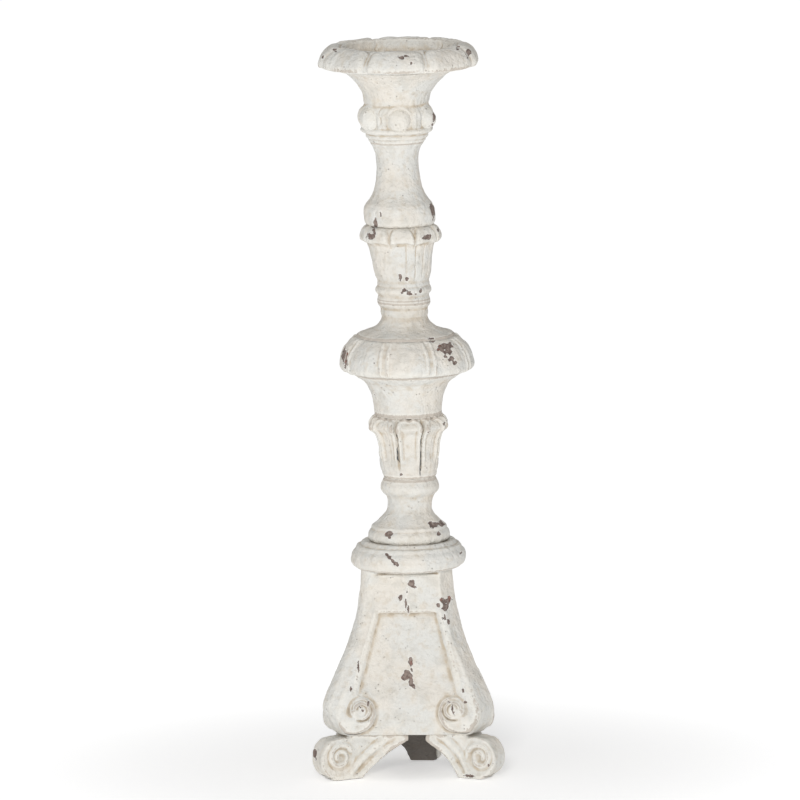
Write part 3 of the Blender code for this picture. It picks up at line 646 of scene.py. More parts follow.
for mark in MARKS:
    values = np.empty(len(skin.vertices), dtype=np.float32)
    skin.attributes[mark].data.foreach_get("value", values)
    skin_values[mark] = values.reshape(len(heights), -1)
# Faces out of sight get full painted shade, and no chips, wax or cracks.
HIDDEN_MARKS = dict(zip(MARKS, (NO_CHIP, 0.0, 0.0, 1.0)))


def with_backs(columns, backs):
    """Close columns of the skin with plain ones behind them, and give every column its attributes."""
    wrapped = [c % skin_points.shape[1] for c in columns]
    rings = np.concatenate([skin_points[:, wrapped], backs], axis=1)
    plain = np.ones(backs.shape[:2])
    return rings, {mark: np.concatenate([skin_values[mark][:, wrapped], plain * HIDDEN_MARKS[mark]], axis=1)
                   for mark in MARKS}


RIB_NUMBERS = (2, 3, 1)         # of the rib after each face, the way round that the columns go
body_rings, body_values = [], []
for number, corner in enumerate(RIB_NUMBERS):
    first = number * (FACE_COLUMNS + RIB_COLUMNS)
    # On this grid bowed moves only the first column, by under 1.5 mm, and the back is out of sight.
    turns = back_angles[number]
    back = bowed(pedestal_point(turns, heights + 0 * turns, RIB_THICKNESS) + AXIS)
    rings, values = with_backs(range(first, first + FACE_COLUMNS + 1), back)
    body_rings.append(rings)
    body_values.append(values)
    first += FACE_COLUMNS
    rings, values = with_backs(range(first, first + RIB_COLUMNS + 1), back[:, ::-1])
    finish_piece(f"corner_rib_{corner}_carved", closed_grid(rings, values=values), f"corner_rib_{corner}")
rings = np.concatenate(body_rings, axis=1)
turn = np.arctan2(rings[0, :, 0] - AXIS[0], AXIS[1] - rings[0, :, 1])
NUT_RECESS_RADIUS, NUT_RECESS_TOP, BORE_RADIUS = 14.0, BODY_BASE + 16.0, 4.6
SPIGOT_RADIUS, SPIGOT_LENGTH = 12.0, 9.0
bore = [np.stack([radius * np.sin(turn), -radius * np.cos(turn), height + 0 * turn], axis=-1) + AXIS
        for radius, height in ((NUT_RECESS_RADIUS, BODY_BASE), (NUT_RECESS_RADIUS, NUT_RECESS_TOP),
                               (BORE_RADIUS, NUT_RECESS_TOP), (BORE_RADIUS, BODY_TOP - SPIGOT_LENGTH),
                               (SPIGOT_RADIUS, BODY_TOP - SPIGOT_LENGTH), (SPIGOT_RADIUS, BODY_TOP))]
loop = np.concatenate([rings, np.array(bore), rings[:1]])
values = {}
for mark in MARKS:
    outer = np.concatenate([one[mark] for one in body_values], axis=1)
    values[mark] = np.concatenate([outer, np.full((len(bore), outer.shape[1]), HIDDEN_MARKS[mark]), outer[:1]])
finish_piece("pedestal_carved", closed_grid(loop, ends=False, values=values), "pedestal_body")

# ---- Base plate -----------------------------------------------------------------------------
# The lowest of a stack of turned sections, each spun from its outline. A spigot below and a socket
# above locate each one, and the tie rod pulls them together. The plate has two thin fillets on top
# of a half-round edge, with a scratched line along it.

PLATE_TOP = 194
PLAIN_COLUMNS, CARVED_COLUMNS, WIDE_COLUMNS = 320, 440, 560
STEP = 0.8


def even_steps(outline, step, partner=None):
    """The outline with a point every step or so, corners worn slightly round, and how far along
    each point lies. A partner outline with as many points is divided at the same shares."""
    line = np.array(outline, float)
    length = np.concatenate([[0], np.cumsum(np.hypot(*np.diff(line, axis=0).T))])
    where = np.linspace(0, length[-1], max(2, int(length[-1] / step)) + 1)
    lines = []
    for one in (line, line if partner is None else np.array(partner, float)):
        fine = np.stack([np.interp(where, length, one[:, k]) for k in (0, 1)], axis=1)
        for _ in range(2):
            fine[1:-1] = (fine[:-2] + 2 * fine[1:-1] + fine[2:]) / 4
        lines.append(fine)
    return lines[0], lines[1], where


def joinery(base, top):
    """Inner side of a section upwards: spigot, bore and socket."""
    tip, socket_floor = base - SPIGOT_LENGTH, top - SPIGOT_LENGTH
    return [(SPIGOT_RADIUS, base), (SPIGOT_RADIUS, tip), (BORE_RADIUS, tip),
            (BORE_RADIUS, socket_floor), (SPIGOT_RADIUS, socket_floor), (SPIGOT_RADIUS, top)]


def turned(outline, inner, relief=None, gap=None, weight=None, columns=PLAIN_COLUMNS, step=STEP):
    """Spin an outline that runs from head to foot. relief(angle, radius, height, along) moves it
    out along its normal. With gap, a second outline, the section is the first where
    weight(angle, height) is 1 and the gap outline where it is 0."""
    first, second, along = even_steps(outline, step, gap)
    angle = (np.arange(columns) + 0.5) * 2 * math.pi / columns
    angle = np.where(angle > math.pi, angle - 2 * math.pi, angle)[None]
    share = np.ones((len(first), 1)) if weight is None else weight(angle, first[:, None, 1])
    line = first[:, None] * share[..., None] + second[:, None] * (1 - share[..., None])
    line = np.broadcast_to(line, (len(first), columns, 2)).copy()
    if relief is not None:
        slope = np.gradient(line, axis=0)
        outward = np.stack([-slope[..., 1], slope[..., 0]], axis=-1)
        outward /= np.linalg.norm(outward, axis=-1, keepdims=True)
        line = line + outward * relief(angle, line[..., 0], line[..., 1], along[:, None])[..., None]
    inside = np.broadcast_to(np.array(inner, float)[:, None], (len(inner), columns, 2))
    solid = outline[0][0] > 0
    full = np.concatenate([line, inside, line[:1]] if solid else [line, inside])
    rings = np.stack([full[..., 0] * np.sin(angle), -full[..., 0] * np.cos(angle), full[..., 1]], axis=-1)
    return closed_grid(rings + AXIS, ends=False)


def from_lines(angle, radius, lines):
    """Signed distance round the girth, in millimetres, to the nearest of some upright lines."""
    best = np.full(np.broadcast(angle, radius).shape, FAR_OFF)
    for at in lines:
        away = girth_from(angle, at, radius)
        best = np.where(np.abs(away) < np.abs(best), away, best)
    return best


def plate_relief(angle, radius, height, along):
    return -0.35 * ridge(height - 182.6, 0.9) * step_up(np.sin(angle * 3 + 1), -0.6, 0.2)


plate = turned([(30, 193.8), (31.6, 194.2), (33.2, 195.4), (36.0, 196.1), (38.3, 195.9), (39.5, 194.3),
                (40.3, 192.6), (42.6, 192.7), (43.9, 191.2), (44.2, 189.2), (45.4, 188.4), (46.9, 186.4),
                (47.7, 183.4), (47.8, 180.4), (47.3, 178), (46.0, 176), (44.2, 174.6), (42.8, BODY_TOP)],
               joinery(BODY_TOP, PLATE_TOP), plate_relief, step=0.6)
weather(plate, [(-18.4, 189.4, 1.6, 1.6), (-15.8, 187.6, 1.9, 1.6), (-13.2, 185.2, 1.9, 1.6),
                (-10.4, 183.2, 2.2, 1.5), (-8.6, 181.6, 1.4, 1.0), (43.5, 186, 0.9, 0.9)], stray=4, seed=41)
finish_piece("base_plate_turned", plate, "base_plate")

# ---- Bell foot ------------------------------------------------------------------------------
# Turned from one block and plugged into the base plate: a ring and a short neck over a bell, which
# ends in a thin lip and a fat torus.

BELL_TOP = 249
bell = turned([(21.4, BELL_TOP), (22.5, 246.3), (23.6, 244.4), (24.5, 241.5), (24.3, 239), (23.2, 236.8),
               (21.8, 235.4), (20.3, 234.2), (19.3, 232.4), (18.4, 229), (18.2, 225.5), (18.3, 222.5),
               (18.9, 220.4), (20, 218.8), (22.4, 216), (26.1, 212), (28.8, 209.5), (30.7, 208.6),
               (31.5, 207.6), (31.1, 206.4), (31.0, 205.8)]
              + arc(28.4, 200.4, 5.9, 52, -72, 16) + [(30.4, PLATE_TOP)],
              joinery(PLATE_TOP, BELL_TOP), step=0.7)
weather(bell, [(-17.6, 204.8, 3.0, 2.2), (-16.2, 202.0, 1.5, 1.8), (21.5, 210.6, 5.0, 1.7),
               (27.0, 209.4, 3.0, 1.0), (24.5, 203.4, 1.8, 1.6), (17.4, 212.4, 1.6, 0.9)], stray=5, seed=42)
finish_piece("bell_foot_turned", bell, "bell_foot")

# ---- Lower leaf cup -------------------------------------------------------------------------
# A turned cone carved into eight broad arched petals. Each one curls out at its tip and has a
# raised rim round a shallow hollow. The saw-thin gaps between them run down to the core.

LOWER_CUP_TOP = 301
LOWER_TIPS, LOWER_PHASE = 8, 3.0


def petal_side(angle, radius, count, phase):
    """Distance round the girth from the nearest gap between two petals."""
    pitch = 2 * math.pi / count
    off = (angle - math.radians(phase) + pitch / 2) % pitch
    return np.minimum(off, pitch - off) * radius


def petal_weight(count, phase, head, shoulder, foot, foot_fade, gap_half, worn):
    """1 on a petal and 0 in the gaps, which open out above the petals' shoulders."""
    def weight(angle, height):
        rise = np.clip((height - shoulder) / (head - shoulder), 0, 1)
        half = gap_half + 5.2 * (1 - np.sqrt(1 - np.clip(rise, 0, 0.999) ** 2))
        opened = step_up(petal_side(angle, 30.0, count, phase), half - 0.7, half + 1.3)
        opened = np.maximum(opened, 1 - step_up(height, foot - foot_fade, foot + foot_fade))
        smooth = 0.75 * step_up(np.sin(angle), -0.15, -0.75) * (np.cos(angle) > -0.3) if worn else 0.0
        return opened + (1 - opened) * smooth
    return weight


def lower_relief(angle, radius, height, along):
    side = petal_side(angle, 30.0, LOWER_TIPS, LOWER_PHASE)
    rise = np.clip((height - 292.5) / 7.3, 0, 1)
    edge = side - 0.7 - 5.2 * (1 - np.sqrt(1 - np.clip(rise, 0, 0.999) ** 2))
    on_petal = step_up(height, 262, 268)
    rim = 1.0 * ridge(edge - 2.2, 2.2) - 1.3 * step_up(edge, 3.2, 5.2)
    gap_line = -1.6 * ridge(side, 1.2) * step_up(height, 252, 262)
    midrib = -0.5 * ridge(from_lines(angle, radius, (51.5, -38.5)), 0.7) * step_up(height, 255, 262)
    return on_petal * rim + gap_line * (1 - 0.5 * (np.sin(angle) < -0.55)) + midrib


petals = [(27.5, LOWER_CUP_TOP), (27.9, 300.0), (29.0, 299.1), (31.4, 296.9), (33.6, 293.6),
          (33.5, 291.0), (31.2, 289.2), (29.0, 287.2), (27.2, 283.4), (26.1, 279.6), (25.1, 273),
          (24.9, 268.5), (24.5, 263), (24.0, 258.6)]
gaps = [(27.5, LOWER_CUP_TOP), (27.2, 300.2), (27.0, 299.2), (27.0, 297.0), (27.4, 294.2), (27.6, 291.2),
        (27.4, 289.4), (27.0, 287.2), (26.0, 283.4), (25.2, 279.6), (24.6, 273), (24.5, 268.5), (24.2, 263),
        (23.9, 258.6)]
stem = [(23.6, 255.6), (22.4, 253.6), (22.9, 252.4), (22.2, 250.6), (20.8, BELL_TOP)]
lower_cup = turned(petals + stem, joinery(BELL_TOP, LOWER_CUP_TOP), lower_relief, gaps + stem,
                   petal_weight(LOWER_TIPS, LOWER_PHASE, 299.8, 292.5, 281, 5, 0.4, False),
                   CARVED_COLUMNS, step=0.62)
weather(lower_cup, [(29.5, 294.5, 1.2, 2.0), (16.4, 289.8, 1.3, 0.9), (-7.2, 253.6, 1.6, 0.8)],
        [(-19.4, 262, 289, 0.3), (25.5, 251, 296, 0.5), (115, 262, 290, 0.3)]
        + [(at, 262, 288, 0.3) for at in (70, 160, 205, 250)], stray=3, seed=43)
finish_piece("lower_leaf_cup_carved", lower_cup, "lower_leaf_cup")

# ---- Trumpet --------------------------------------------------------------------------------
# A plain turning whose hollow curve opens from the leaf cup out to the dish that lies on it.

TRUMPET_TOP = 338
trumpet = turned([(46.8, TRUMPET_TOP), (46.2, 336.8), (41, 333), (36.1, 330), (33.6, 326.6), (32.2, 323),
                  (30.8, 320), (29.8, 316.6), (29.1, 313), (28.5, 308), (27.9, 303), (27.6, LOWER_CUP_TOP)],
                 joinery(LOWER_CUP_TOP, TRUMPET_TOP))
weather(trumpet, [(-27, 320, 0.6, 0.8)], stray=3, seed=44)
finish_piece("trumpet_turned", trumpet, "trumpet")

# ---- Dish -----------------------------------------------------------------------------------
# A turned dome carved in eight panels, with a pair of thin ridges down each line between two of
# them. Its flat top carries the collar.

DISH_TOP = 367
DISH_LINES = (-18.5, 24.5, 70, 115, 160, 205, 250, 297)


def dish_relief(angle, radius, height, along):
    side = np.abs(from_lines(angle, radius, DISH_LINES))
    fade = step_up(height, 339.5, 342.5) * step_up(along, 3.0, 6.5)
    return fade * (1.5 * ridge(side - 3.3, 1.7) - 0.3 * ridge(side, 2.2) + 0.9 * step_up(side, 5.0, 16.0) - 0.5)


dish = turned([(38, DISH_TOP), (42.4, 366.7), (44.9, 364.9), (46.8, 362.8), (49.9, 360), (52, 357),
               (53.6, 353.6), (54.6, 350), (55.2, 347), (55.5, 343.6), (55.2, 341), (53.8, 339.2),
               (50.5, 338.4), (47.5, TRUMPET_TOP)],
              joinery(TRUMPET_TOP, DISH_TOP), dish_relief, columns=WIDE_COLUMNS)
weather(dish, [(31.7, 361.5, 6.5, 3.2), (35.6, 358.4, 3.6, 1.8), (32.4, 355.0, 1.6, 1.2),
               (37.0, 352.4, 2.4, 1.8), (39.5, 349.0, 2.0, 1.4), (21.5, 367.0, 3.4, 0.9),
               (-51.2, 354, 2.8, 8.0), (-27, 351, 0.8, 0.8)], stray=7, seed=45)
finish_piece("dish_carved", dish, "dish")

# ---- Collar ---------------------------------------------------------------------------------
# A small turning with a ring at its top and a neck, whose foot flares into a thin lip on the dish.

COLLAR_TOP = 397
collar = turned([(22.1, COLLAR_TOP), (22.2, 395.4), (21.6, 393.4), (20.0, 392.0), (19.2, 390.4),
                 (19.9, 388.8), (19.9, 386), (19.0, 384), (19.5, 381.5), (20.7, 379.4), (22.4, 377),
                 (26.5, 373.8), (32.5, 371.6), (37.6, 370.0), (39.8, 369.1), (40.7, 368.1),
                 (40.8, DISH_TOP)], joinery(DISH_TOP, COLLAR_TOP), step=0.7)
weather(collar, [(20.5, 369.2, 2.6, 0.7)], stray=2, seed=46)
finish_piece("collar_turned", collar, "collar")

# ---- Upper leaf cup -------------------------------------------------------------------------
# A turned cup carved into nine narrow tongues, which curl out under a flat edge, over a worn torus.
# The left side was smoothed by handling, so its tongues nearly run together.

UPPER_CUP_TOP = 460
UPPER_TIPS, UPPER_PHASE = 9, 4.0
UPPER_GROOVES = (10.5, 29, 47, 65, 84, 104, 124, 144, 164, 184, 204)


def upper_relief(angle, radius, height, along):
    side = petal_side(angle, 30.0, UPPER_TIPS, UPPER_PHASE)
    grooves = -0.9 * ridge(from_lines(angle, radius, UPPER_GROOVES), 1.1) * step_up(height, 414, 420)
    curled = step_up(height, 444, 446)
    hollowed = -0.8 * step_up(side, 3.0, 8.0) * curled * step_up(458 - height, 0, 4)
    return grooves * (1 - curled) + hollowed + 0.5 * step_up(height, 413, 424)


tongues = [(23.5, UPPER_CUP_TOP), (26.5, 459.8), (29.2, 459.2), (31.6, 457.6), (33.2, 454.8),
           (34.1, 451.6), (34.0, 449.0), (32.8, 447.4), (30.0, 447.2), (27.6, 445.0), (26.2, 441),
           (25.4, 437.5), (24.4, 431), (24.0, 427), (23.5, 423.5), (22.9, 419.5)]
gaps = [(23.5, UPPER_CUP_TOP), (25.2, 459.5), (26.8, 458.4), (28.4, 456.4), (29.8, 453.6), (30.4, 450.8),
        (30.0, 448.6), (28.8, 446.8), (27.4, 445.4), (26.4, 443.2), (25.6, 441), (25.0, 437.5), (24.2, 431),
        (23.8, 427), (23.3, 423.5), (22.8, 419.5)]
torus = ([(22.3, 416.8), (21.2, 414.4), (21.1, 412.8), (21.6, 411)] + arc(19.9, 406, 3.6, 64, -62, 12)
         + [(21.2, 401.6), (21.0, 400.4), (21.9, 399.2), (22.1, COLLAR_TOP)])
upper_cup = turned(tongues + torus, joinery(COLLAR_TOP, UPPER_CUP_TOP), upper_relief, gaps + torus,
                   petal_weight(UPPER_TIPS, UPPER_PHASE, 460.5, 447, 444, 2, 0.4, True),
                   CARVED_COLUMNS, step=0.62)
weather(upper_cup, [(-24.2, 453.5, 3.2, 3.2), (-21.8, 457.6, 1.6, 3.6), (22.0, 452.5, 3.4, 1.9),
                    (31.6, 456.5, 1.0, 2.0), (-2.0, 418.6, 1.7, 2.4), (3.8, 417.8, 1.8, 2.8),
                    (4.6, 405.6, 5.0, 2.5), (1.2, 407.8, 1.8, 1.8), (14.4, 406.6, 1.3, 1.8)],
        stray=5, seed=47)
finish_piece("upper_leaf_cup_carved", upper_cup, "upper_leaf_cup")

# ---- Baluster neck --------------------------------------------------------------------------
# A slender turned neck that swells to a round knop, with one scored line round the knop.

NECK_TOP = 528


def knop_relief(angle, radius, height, along):
    return -0.4 * ridge(height - 476.3, 0.8)


neck = turned([(22.2, NECK_TOP), (20.2, 525.2), (18.8, 521.6), (17.7, 517), (17.35, 511), (17.5, 505),
               (18.2, 498.4), (19.1, 494.6), (20, 491), (21.1, 488), (22.5, 484.6), (24.9, 481),
               (27.4, 478.4), (28.8, 476), (29.5, 473), (29.8, 469.5), (29.6, 465), (28.9, 462),
               (27.6, 460.6), (24, UPPER_CUP_TOP)],
              joinery(UPPER_CUP_TOP, NECK_TOP), knop_relief)
weather(neck, [(27.4, 473, 2.0, 6.0), (-19.8, 464.5, 1.5, 6.0), (-15.4, 471.5, 0.7, 2.2)], stray=3, seed=48)
finish_piece("baluster_turned", neck, "baluster_neck")

# ---- Capital and beads ----------------------------------------------------------------------
# The capital opens in a hollow curve up to the pan. Its collar is carved with an arch round each of
# six turned beads, which are glued on, and two thin rings run below its ledge.

BEAD_COUNT, BEAD_REACH, BEAD_RADIUS, BEAD_HEIGHT, BEAD_TURN = 6, 24.8, 10.5, 549.6, 7.0
PAN_SPIGOT_RADIUS, PAN_SOCKET_FLOOR = 18, 574


def capital_relief(angle, radius, height, along):
    across = from_lines(angle, 28.0, [BEAD_TURN + 360 / BEAD_COUNT * i for i in range(BEAD_COUNT)])
    away = np.hypot(across, height - BEAD_HEIGHT)
    arches = 0.9 * ridge(away - 10.6, 2.2) * step_up(height, 548, 556)
    fillet = 1.8 * ridge(np.abs(across) - 13.0, 3.0) * step_up(height, 541, 544) * step_up(560 - height, 0, 6)
    crack = -1.3 * ridge(from_lines(angle, radius, (-25.5,)) + 1.2 * np.sin(height / 2.0), 0.8)
    between = step_up(height, 544, 547) * step_up(561 - height, 0, 2)
    return arches + fillet + crack * between


capital_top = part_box("bead_cup")[1].z / MM
cavetto = [(27.3 + 19.7 * ((h - 563) / 27) ** 2.0, h) for h in np.linspace(capital_top, 563, 26)]
collar_edge = [(26.6, 561), (28.0, 558.5), (28.9, 554), (29.0, 549), (28.4, 544.4), (28.2, 542.2),
               (30.0, 541.2), (30.3, 539.6), (29.4, 538.3), (26.8, 537.4)]
thin_rings = (arc(24.7, 534.8, 1.7, 62, -62, 8) + [(23.8, 532.8)] + arc(22.9, 531.3, 1.3, 50, -60, 6)
              + [(22.3, 529.4), (22.2, NECK_TOP)])
capital_inner = joinery(NECK_TOP, capital_top)[:3] + [
    (BORE_RADIUS, PAN_SOCKET_FLOOR), (PAN_SPIGOT_RADIUS, PAN_SOCKET_FLOOR), (PAN_SPIGOT_RADIUS, capital_top)]
capital = turned(cavetto + collar_edge + thin_rings, capital_inner, capital_relief,
                 columns=CARVED_COLUMNS, step=0.7)
weather(capital, [(28.6, 542, 1.2, 1.2)], stray=4, seed=49)
finish_piece("capital_carved", capital, "bead_cup")


def bead_tree():
    """Geometry Nodes: turned balls set round a ring, each a little off its size and turn."""
    tree = bpy.data.node_groups.new("bead_ring", "GeometryNodeTree")
    tree.interface.new_socket("Geometry", in_out="OUTPUT", socket_type="NodeSocketGeometry")
    for name in ("Ring Radius", "Bead Radius", "Unevenness"):
        tree.interface.new_socket(name, in_out="INPUT", socket_type="NodeSocketFloat")
    tree.interface.new_socket("Paint", in_out="INPUT", socket_type="NodeSocketMaterial")
    given = tree.nodes.new("NodeGroupInput").outputs
    ring = add_node(tree, "GeometryNodeMeshCircle", values={"Vertices": BEAD_COUNT},
                    links={"Radius": given["Ring Radius"]})
    ball = add_node(tree, "GeometryNodeMeshUVSphere", values={"Segments": 64, "Rings": 40},
                    links={"Radius": given["Bead Radius"]})
    turn = add_node(tree, "FunctionNodeRandomValue", {"data_type": "FLOAT_VECTOR"},
                    {"Seed": 5, 1: (math.pi, math.pi, math.pi)})
    least = maths(tree, "SUBTRACT", 1.0, given["Unevenness"])
    size = add_node(tree, "FunctionNodeRandomValue", {"data_type": "FLOAT"}, {"Seed": 8, 3: 1.0}, {2: least})
    placed = add_node(tree, "GeometryNodeInstanceOnPoints", links={
        "Points": ring.outputs[0], "Instance": ball.outputs[0], "Rotation": turn.outputs[0],
        "Scale": size.outputs[1]})
    real = add_node(tree, "GeometryNodeRealizeInstances", links={"Geometry": placed.outputs[0]})
    painted = add_node(tree, "GeometryNodeSetMaterial",
                       links={"Geometry": real.outputs[0], "Material": given["Paint"]})
    add_node(tree, "NodeGroupOutput", links={0: painted.outputs[0]})
    return tree


def grown(tree, **inputs):
    """Evaluate a node group on an empty mesh with these inputs, and keep the result as a mesh."""
    holder = bpy.data.objects.new("holder", bpy.data.meshes.new("holder"))
    bpy.context.scene.collection.objects.link(holder)
    nodes = holder.modifiers.new("nodes", "NODES")
    nodes.node_group = tree
    sockets = {item.name: item.identifier for item in tree.interface.items_tree if item.in_out == "INPUT"}
    for name, value in inputs.items():
        nodes[sockets[name.replace("_", " ")]] = value
    return taken_from(holder)


beads = grown(bead_tree(), Ring_Radius=BEAD_REACH * MM, Bead_Radius=BEAD_RADIUS * MM, Unevenness=0.06,
              Paint=PAINT)
beads.transform(Matrix.Translation(Vector(AXIS * MM) + Vector((0, 0, BEAD_HEIGHT * MM)))
                @ Matrix.Rotation(math.radians(BEAD_TURN - 90), 4, "Z"))
weather(beads, [(31.4, 552, 1.6, 4.6), (29.6, 544.5, 1.0, 1.2), (-8.6, 541.5, 1.0, 1.4)],
        stray=3, seed=50)
finish_piece("beads", beads, *[f"bead_{i + 1}" for i in range(BEAD_COUNT)])

# ---- Candle pan -----------------------------------------------------------------------------
# Turned with a spigot that plugs into the capital, and carved round its domed rim in eight pillowed
# panels. The shallow recess takes the candle; two drying cracks run down its wall.

PANELS = 8
PAN_LINES = [22.5 + 360 / PANELS * i for i in range(PANELS)]
RECESS_FLOOR, PAN_TOP, PAN_BASE = 598.0, 610, 590
PAN_DOME_START = 50.5           # how far along the outline the dome of the rim begins
PANEL_CORNER = 9.0


def pan_relief(angle, radius, height, along):
    away = np.abs(from_lines(angle, 60.0, PAN_LINES))
    down = along - PAN_DOME_START
    across, below = away - 1.3, down - 7.5
    inset = np.hypot(np.maximum(PANEL_CORNER - across, 0), np.maximum(PANEL_CORNER - below, 0))
    inside = np.minimum(np.minimum(across, below), PANEL_CORNER - inset)
    shown = step_up(down, 4.0, 8.0) * step_up(height, 592.4, 595.0)
    wavy = 0.6 * np.sin(angle * PANELS + 1.2) * ridge(height - 594, 3.5)
    wall = (height < 609) * (radius < 48) * (height > 599)
    crack = -0.9 * ridge(from_lines(angle, radius, (206.0, 131.0)) + 0.9 * np.sin(height), 0.8) * wall
    rim = 0.5 * np.sin(angle * 5 + 0.6) * ridge(radius - 48.5, 5.0) * (height > 606)
    panels = 1.3 * step_up(inside, 0.2, 6.5) - 1.5 * ridge(inside + 0.2, 1.7)
    return shown * panels + wavy * (radius > 50) + crack + rim


pan = turned([(0, RECESS_FLOOR), (41, RECESS_FLOOR), (43.5, 598.8), (44.9, 601), (45.5, 605), (45.9, 609.3),
              (46.6, PAN_TOP), (50.6, PAN_TOP), (52.4, 609.7), (56.4, 608.3), (60.3, 605.4),
              (63.1, 601.9), (64.7, 598.5), (65.4, 595.2), (64.6, 593.3), (62.0, 592.4), (52, 591.0),
              (46.2, PAN_BASE)],
             [(PAN_SPIGOT_RADIUS, PAN_BASE), (PAN_SPIGOT_RADIUS, 577), (6.8, 577), (6.8, 589), (0, 589)],
             pan_relief, columns=WIDE_COLUMNS, step=STEP)
points = mesh_arrays(pan)[0]
local = points - AXIS
angle = np.arctan2(local[:, 0], -local[:, 1])
corners = 1.012 + 0.024 * np.cos(PANELS * (angle - math.radians(PAN_LINES[0])))
corners = 1 + (corners - 1) * step_up(axis_distance(points), 44, 57)
points[:, :2] = AXIS[:2] + local[:, :2] * corners[:, None]
set_points(pan, points)
weather(pan, [(2.6, 606.2, 3.2, 1.5), (6.2, 607.6, 2.4, 1.0), (10.6, 602, 1.2, 1.3), (58, 605.5, 2.6, 3.6),
              (-62.6, 603, 1.4, 1.6), (-52.6, 609.0, 1.8, 0.9), (48.5, 609.2, 1.8, 0.8),
              (40, 604, 1.4, 2.0, 180)], stray=3, seed=51, open_top=True)
finish_piece("pan_carved", pan, "drip_pan")

# ---- Rod, nut, washer, insert and dowels ----------------------------------------------------
# The zinc-plated rod, nut and washer are bright in the recess under the body; the insert is turned
# brass and the dowels are plain beech. They keep their own shapes.


DULL_FILM = "#7B776E"
BEECH, BEECH_FLECK = "#C9A77C", "#9A7148"


def metal(name, colour, rough_low, rough_high, brush_mm):
    """Plated or turned metal, brushed round its axis by the tool, with a dull film in patches."""
    made, tree, shader, where = new_material(name)
    stretched = add_node(tree, "ShaderNodeMapping", values={"Scale": (0.15, 0.15, 1.0)},
                         links={"Vector": where})
    brushed = noise(tree, stretched.outputs[0], brush_mm)
    tree.links.new(remap(tree, brushed, 0.3, 0.7, rough_low, rough_high), shader.inputs["Roughness"])
    film = remap(tree, noise(tree, where, 4.0), 0.5, 0.7, 0.0, 0.5)
    tree.links.new(blend_colour(tree, film, linear(colour), linear(DULL_FILM)), shader.inputs["Base Color"])
    shader.inputs["Metallic"].default_value = 1.0
    return made


def beech():
    """Beech dowel, cut along the grain: fine dark flecks drawn out along its length."""
    made, tree, shader, where = new_material("beech_dowel")
    grain = add_node(tree, "ShaderNodeMapping", values={"Scale": (1.0, 1.0, 0.08)}, links={"Vector": where})
    fleck = remap(tree, noise(tree, grain.outputs[0], 0.8), 0.45, 0.65)
    tree.links.new(blend_colour(tree, fleck, linear(BEECH), linear(BEECH_FLECK)), shader.inputs["Base Color"])
    shader.inputs["Roughness"].default_value = 0.6
    return made


zinc = metal("zinc_plated_steel", "#B9BBBD", 0.25, 0.5, 0.4)
brass = metal("turned_brass", "#C7A25A", 0.2, 0.4, 0.3)
dowel_wood = beech()
finishes = {"tie_rod": zinc, "rod_nut": zinc, "rod_washer": zinc, "pan_insert": brass}
finishes.update({f"foot_dowel_{i}": dowel_wood for i in range(1, 7)})
for node, finish in finishes.items():
    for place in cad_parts[node].material_slots:
        place.material = finish

# ---- Floor, light and camera ----------------------------------------------------------------
# A white studio sweep with broad soft light from the upper front left, and a long lens that looks
# a little down on the candlestick, which leans slightly to the left.

CAMERA_AZIMUTH, CAMERA_ELEVATION, CAMERA_DISTANCE, CAMERA_ROLL = 2.0, 8.5, 9.5, -0.9
SEEN_WIDTH = 0.6643             # how much the camera sees across, at the candlestick
WHITE, BLACK = (1, 1, 1, 1), (0, 0, 0, 1)
SWEEP_WHITE = (0.94, 0.94, 0.94, 1)
SKY_STRENGTH, KEY_WATTS, TOP_WATTS = 0.42, 53, 3
AIM = Vector((AXIS[0] * MM, AXIS[1] * MM, 0.311))


def area_light(name, place, size, watts):
    """A white rectangular lamp that faces the candlestick."""
    lamp = bpy.data.lights.new(name, "AREA")
    lamp.shape = "RECTANGLE"
    lamp.size, lamp.size_y = size
    lamp.energy = watts
    lamp.color = WHITE[:3]
    thing = bpy.data.objects.new(name, lamp)
    thing.location = place
    thing.rotation_euler = (AIM - Vector(place)).to_track_quat("-Z", "Y").to_euler()
    bpy.context.scene.collection.objects.link(thing)


floor_mesh = bpy.data.meshes.new("floor")
floor_mesh.from_pydata([(-6, -6, 0), (6, -6, 0), (6, 6, 0), (-6, 6, 0)], [], [(0, 1, 2, 3)])
floor = bpy.data.objects.new("floor", floor_mesh)
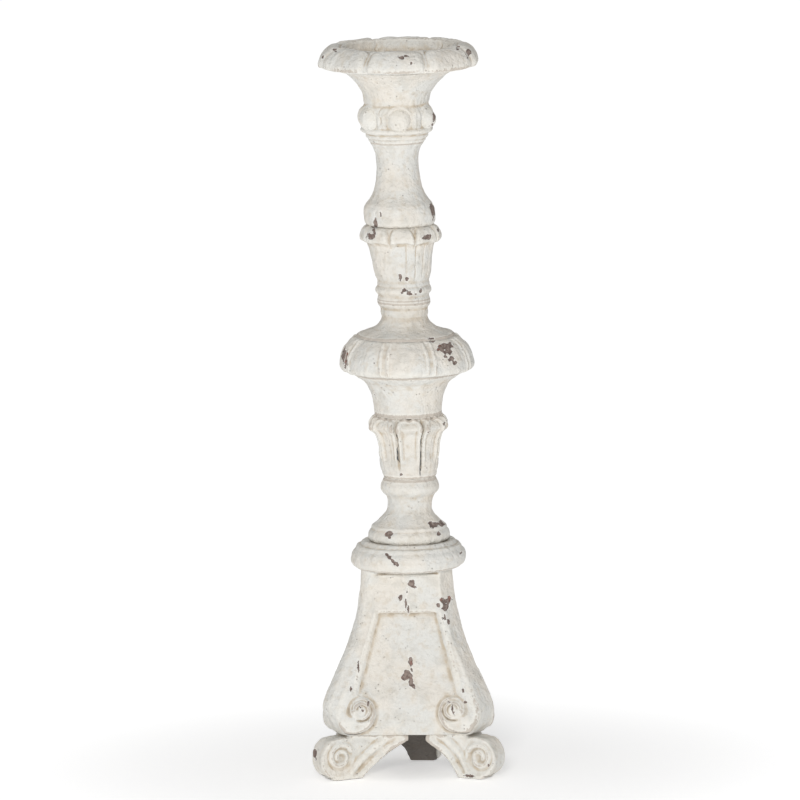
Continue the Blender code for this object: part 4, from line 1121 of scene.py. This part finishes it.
# The floor glows by itself, as painted light: emission 0.33 round the candlestick, rising to full white by 0.6
# m out, where its colour fades to black and it stands in for the backdrop.
pale, tree, sweep, spot = new_material("white_sweep")
spread = add_node(tree, "ShaderNodeVectorMath", {"operation": "LENGTH"}, links={0: spot}).outputs["Value"]
far = remap(tree, spread, 0.12, 0.75)
tree.links.new(blend_colour(tree, far, SWEEP_WHITE, BLACK), sweep.inputs["Base Color"])
tree.links.new(remap(tree, spread, 0.12, 0.6, 0.33, 1.0), sweep.inputs["Emission Strength"])
sweep.inputs["Emission Color"].default_value = WHITE
sweep.inputs["Roughness"].default_value = 0.9
floor_mesh.materials.append(pale)
bpy.context.scene.collection.objects.link(floor)

# The sky lights the candlestick softly, and the camera sees a white backdrop in its place.
world = bpy.data.worlds.new("studio")
bpy.context.scene.world = world
world.use_nodes = True
studio = world.node_tree
sky = studio.nodes["Background"]
sky.inputs["Color"].default_value = WHITE
sky.inputs["Strength"].default_value = SKY_STRENGTH
backdrop = add_node(studio, "ShaderNodeBackground", values={"Color": WHITE, "Strength": 1.0})
seen = add_node(studio, "ShaderNodeLightPath").outputs["Is Camera Ray"]
either = add_node(studio, "ShaderNodeMixShader", links={0: seen, 1: sky.outputs[0], 2: backdrop.outputs[0]})
studio.links.new(either.outputs[0], studio.nodes["World Output"].inputs[0])

area_light("key", (-0.15, -3.4, 1.2), (0.6, 0.6), KEY_WATTS)
area_light("top", (-0.3, -0.4, 2.4), (0.8, 0.8), TOP_WATTS)

bpy.context.scene.view_settings.view_transform = "Standard"
lens = bpy.data.cameras.new("camera")
lens.lens = 36.0 * CAMERA_DISTANCE / SEEN_WIDTH
lens.sensor_width = 36.0
camera = bpy.data.objects.new("camera", lens)
azimuth, elevation = math.radians(CAMERA_AZIMUTH), math.radians(CAMERA_ELEVATION)
camera.location = AIM + CAMERA_DISTANCE * Vector((
    math.sin(azimuth) * math.cos(elevation), -math.cos(azimuth) * math.cos(elevation), math.sin(elevation)))
aimed = (AIM - camera.location).to_track_quat("-Z", "Y").to_matrix().to_4x4()
camera.rotation_euler = (aimed @ Matrix.Rotation(math.radians(CAMERA_ROLL), 4, "Z")).to_euler()
lens.shift_x = -0.0049
lens.shift_y = 0.0028
lens.clip_end = 100
bpy.context.scene.collection.objects.link(camera)
bpy.context.scene.camera = camera
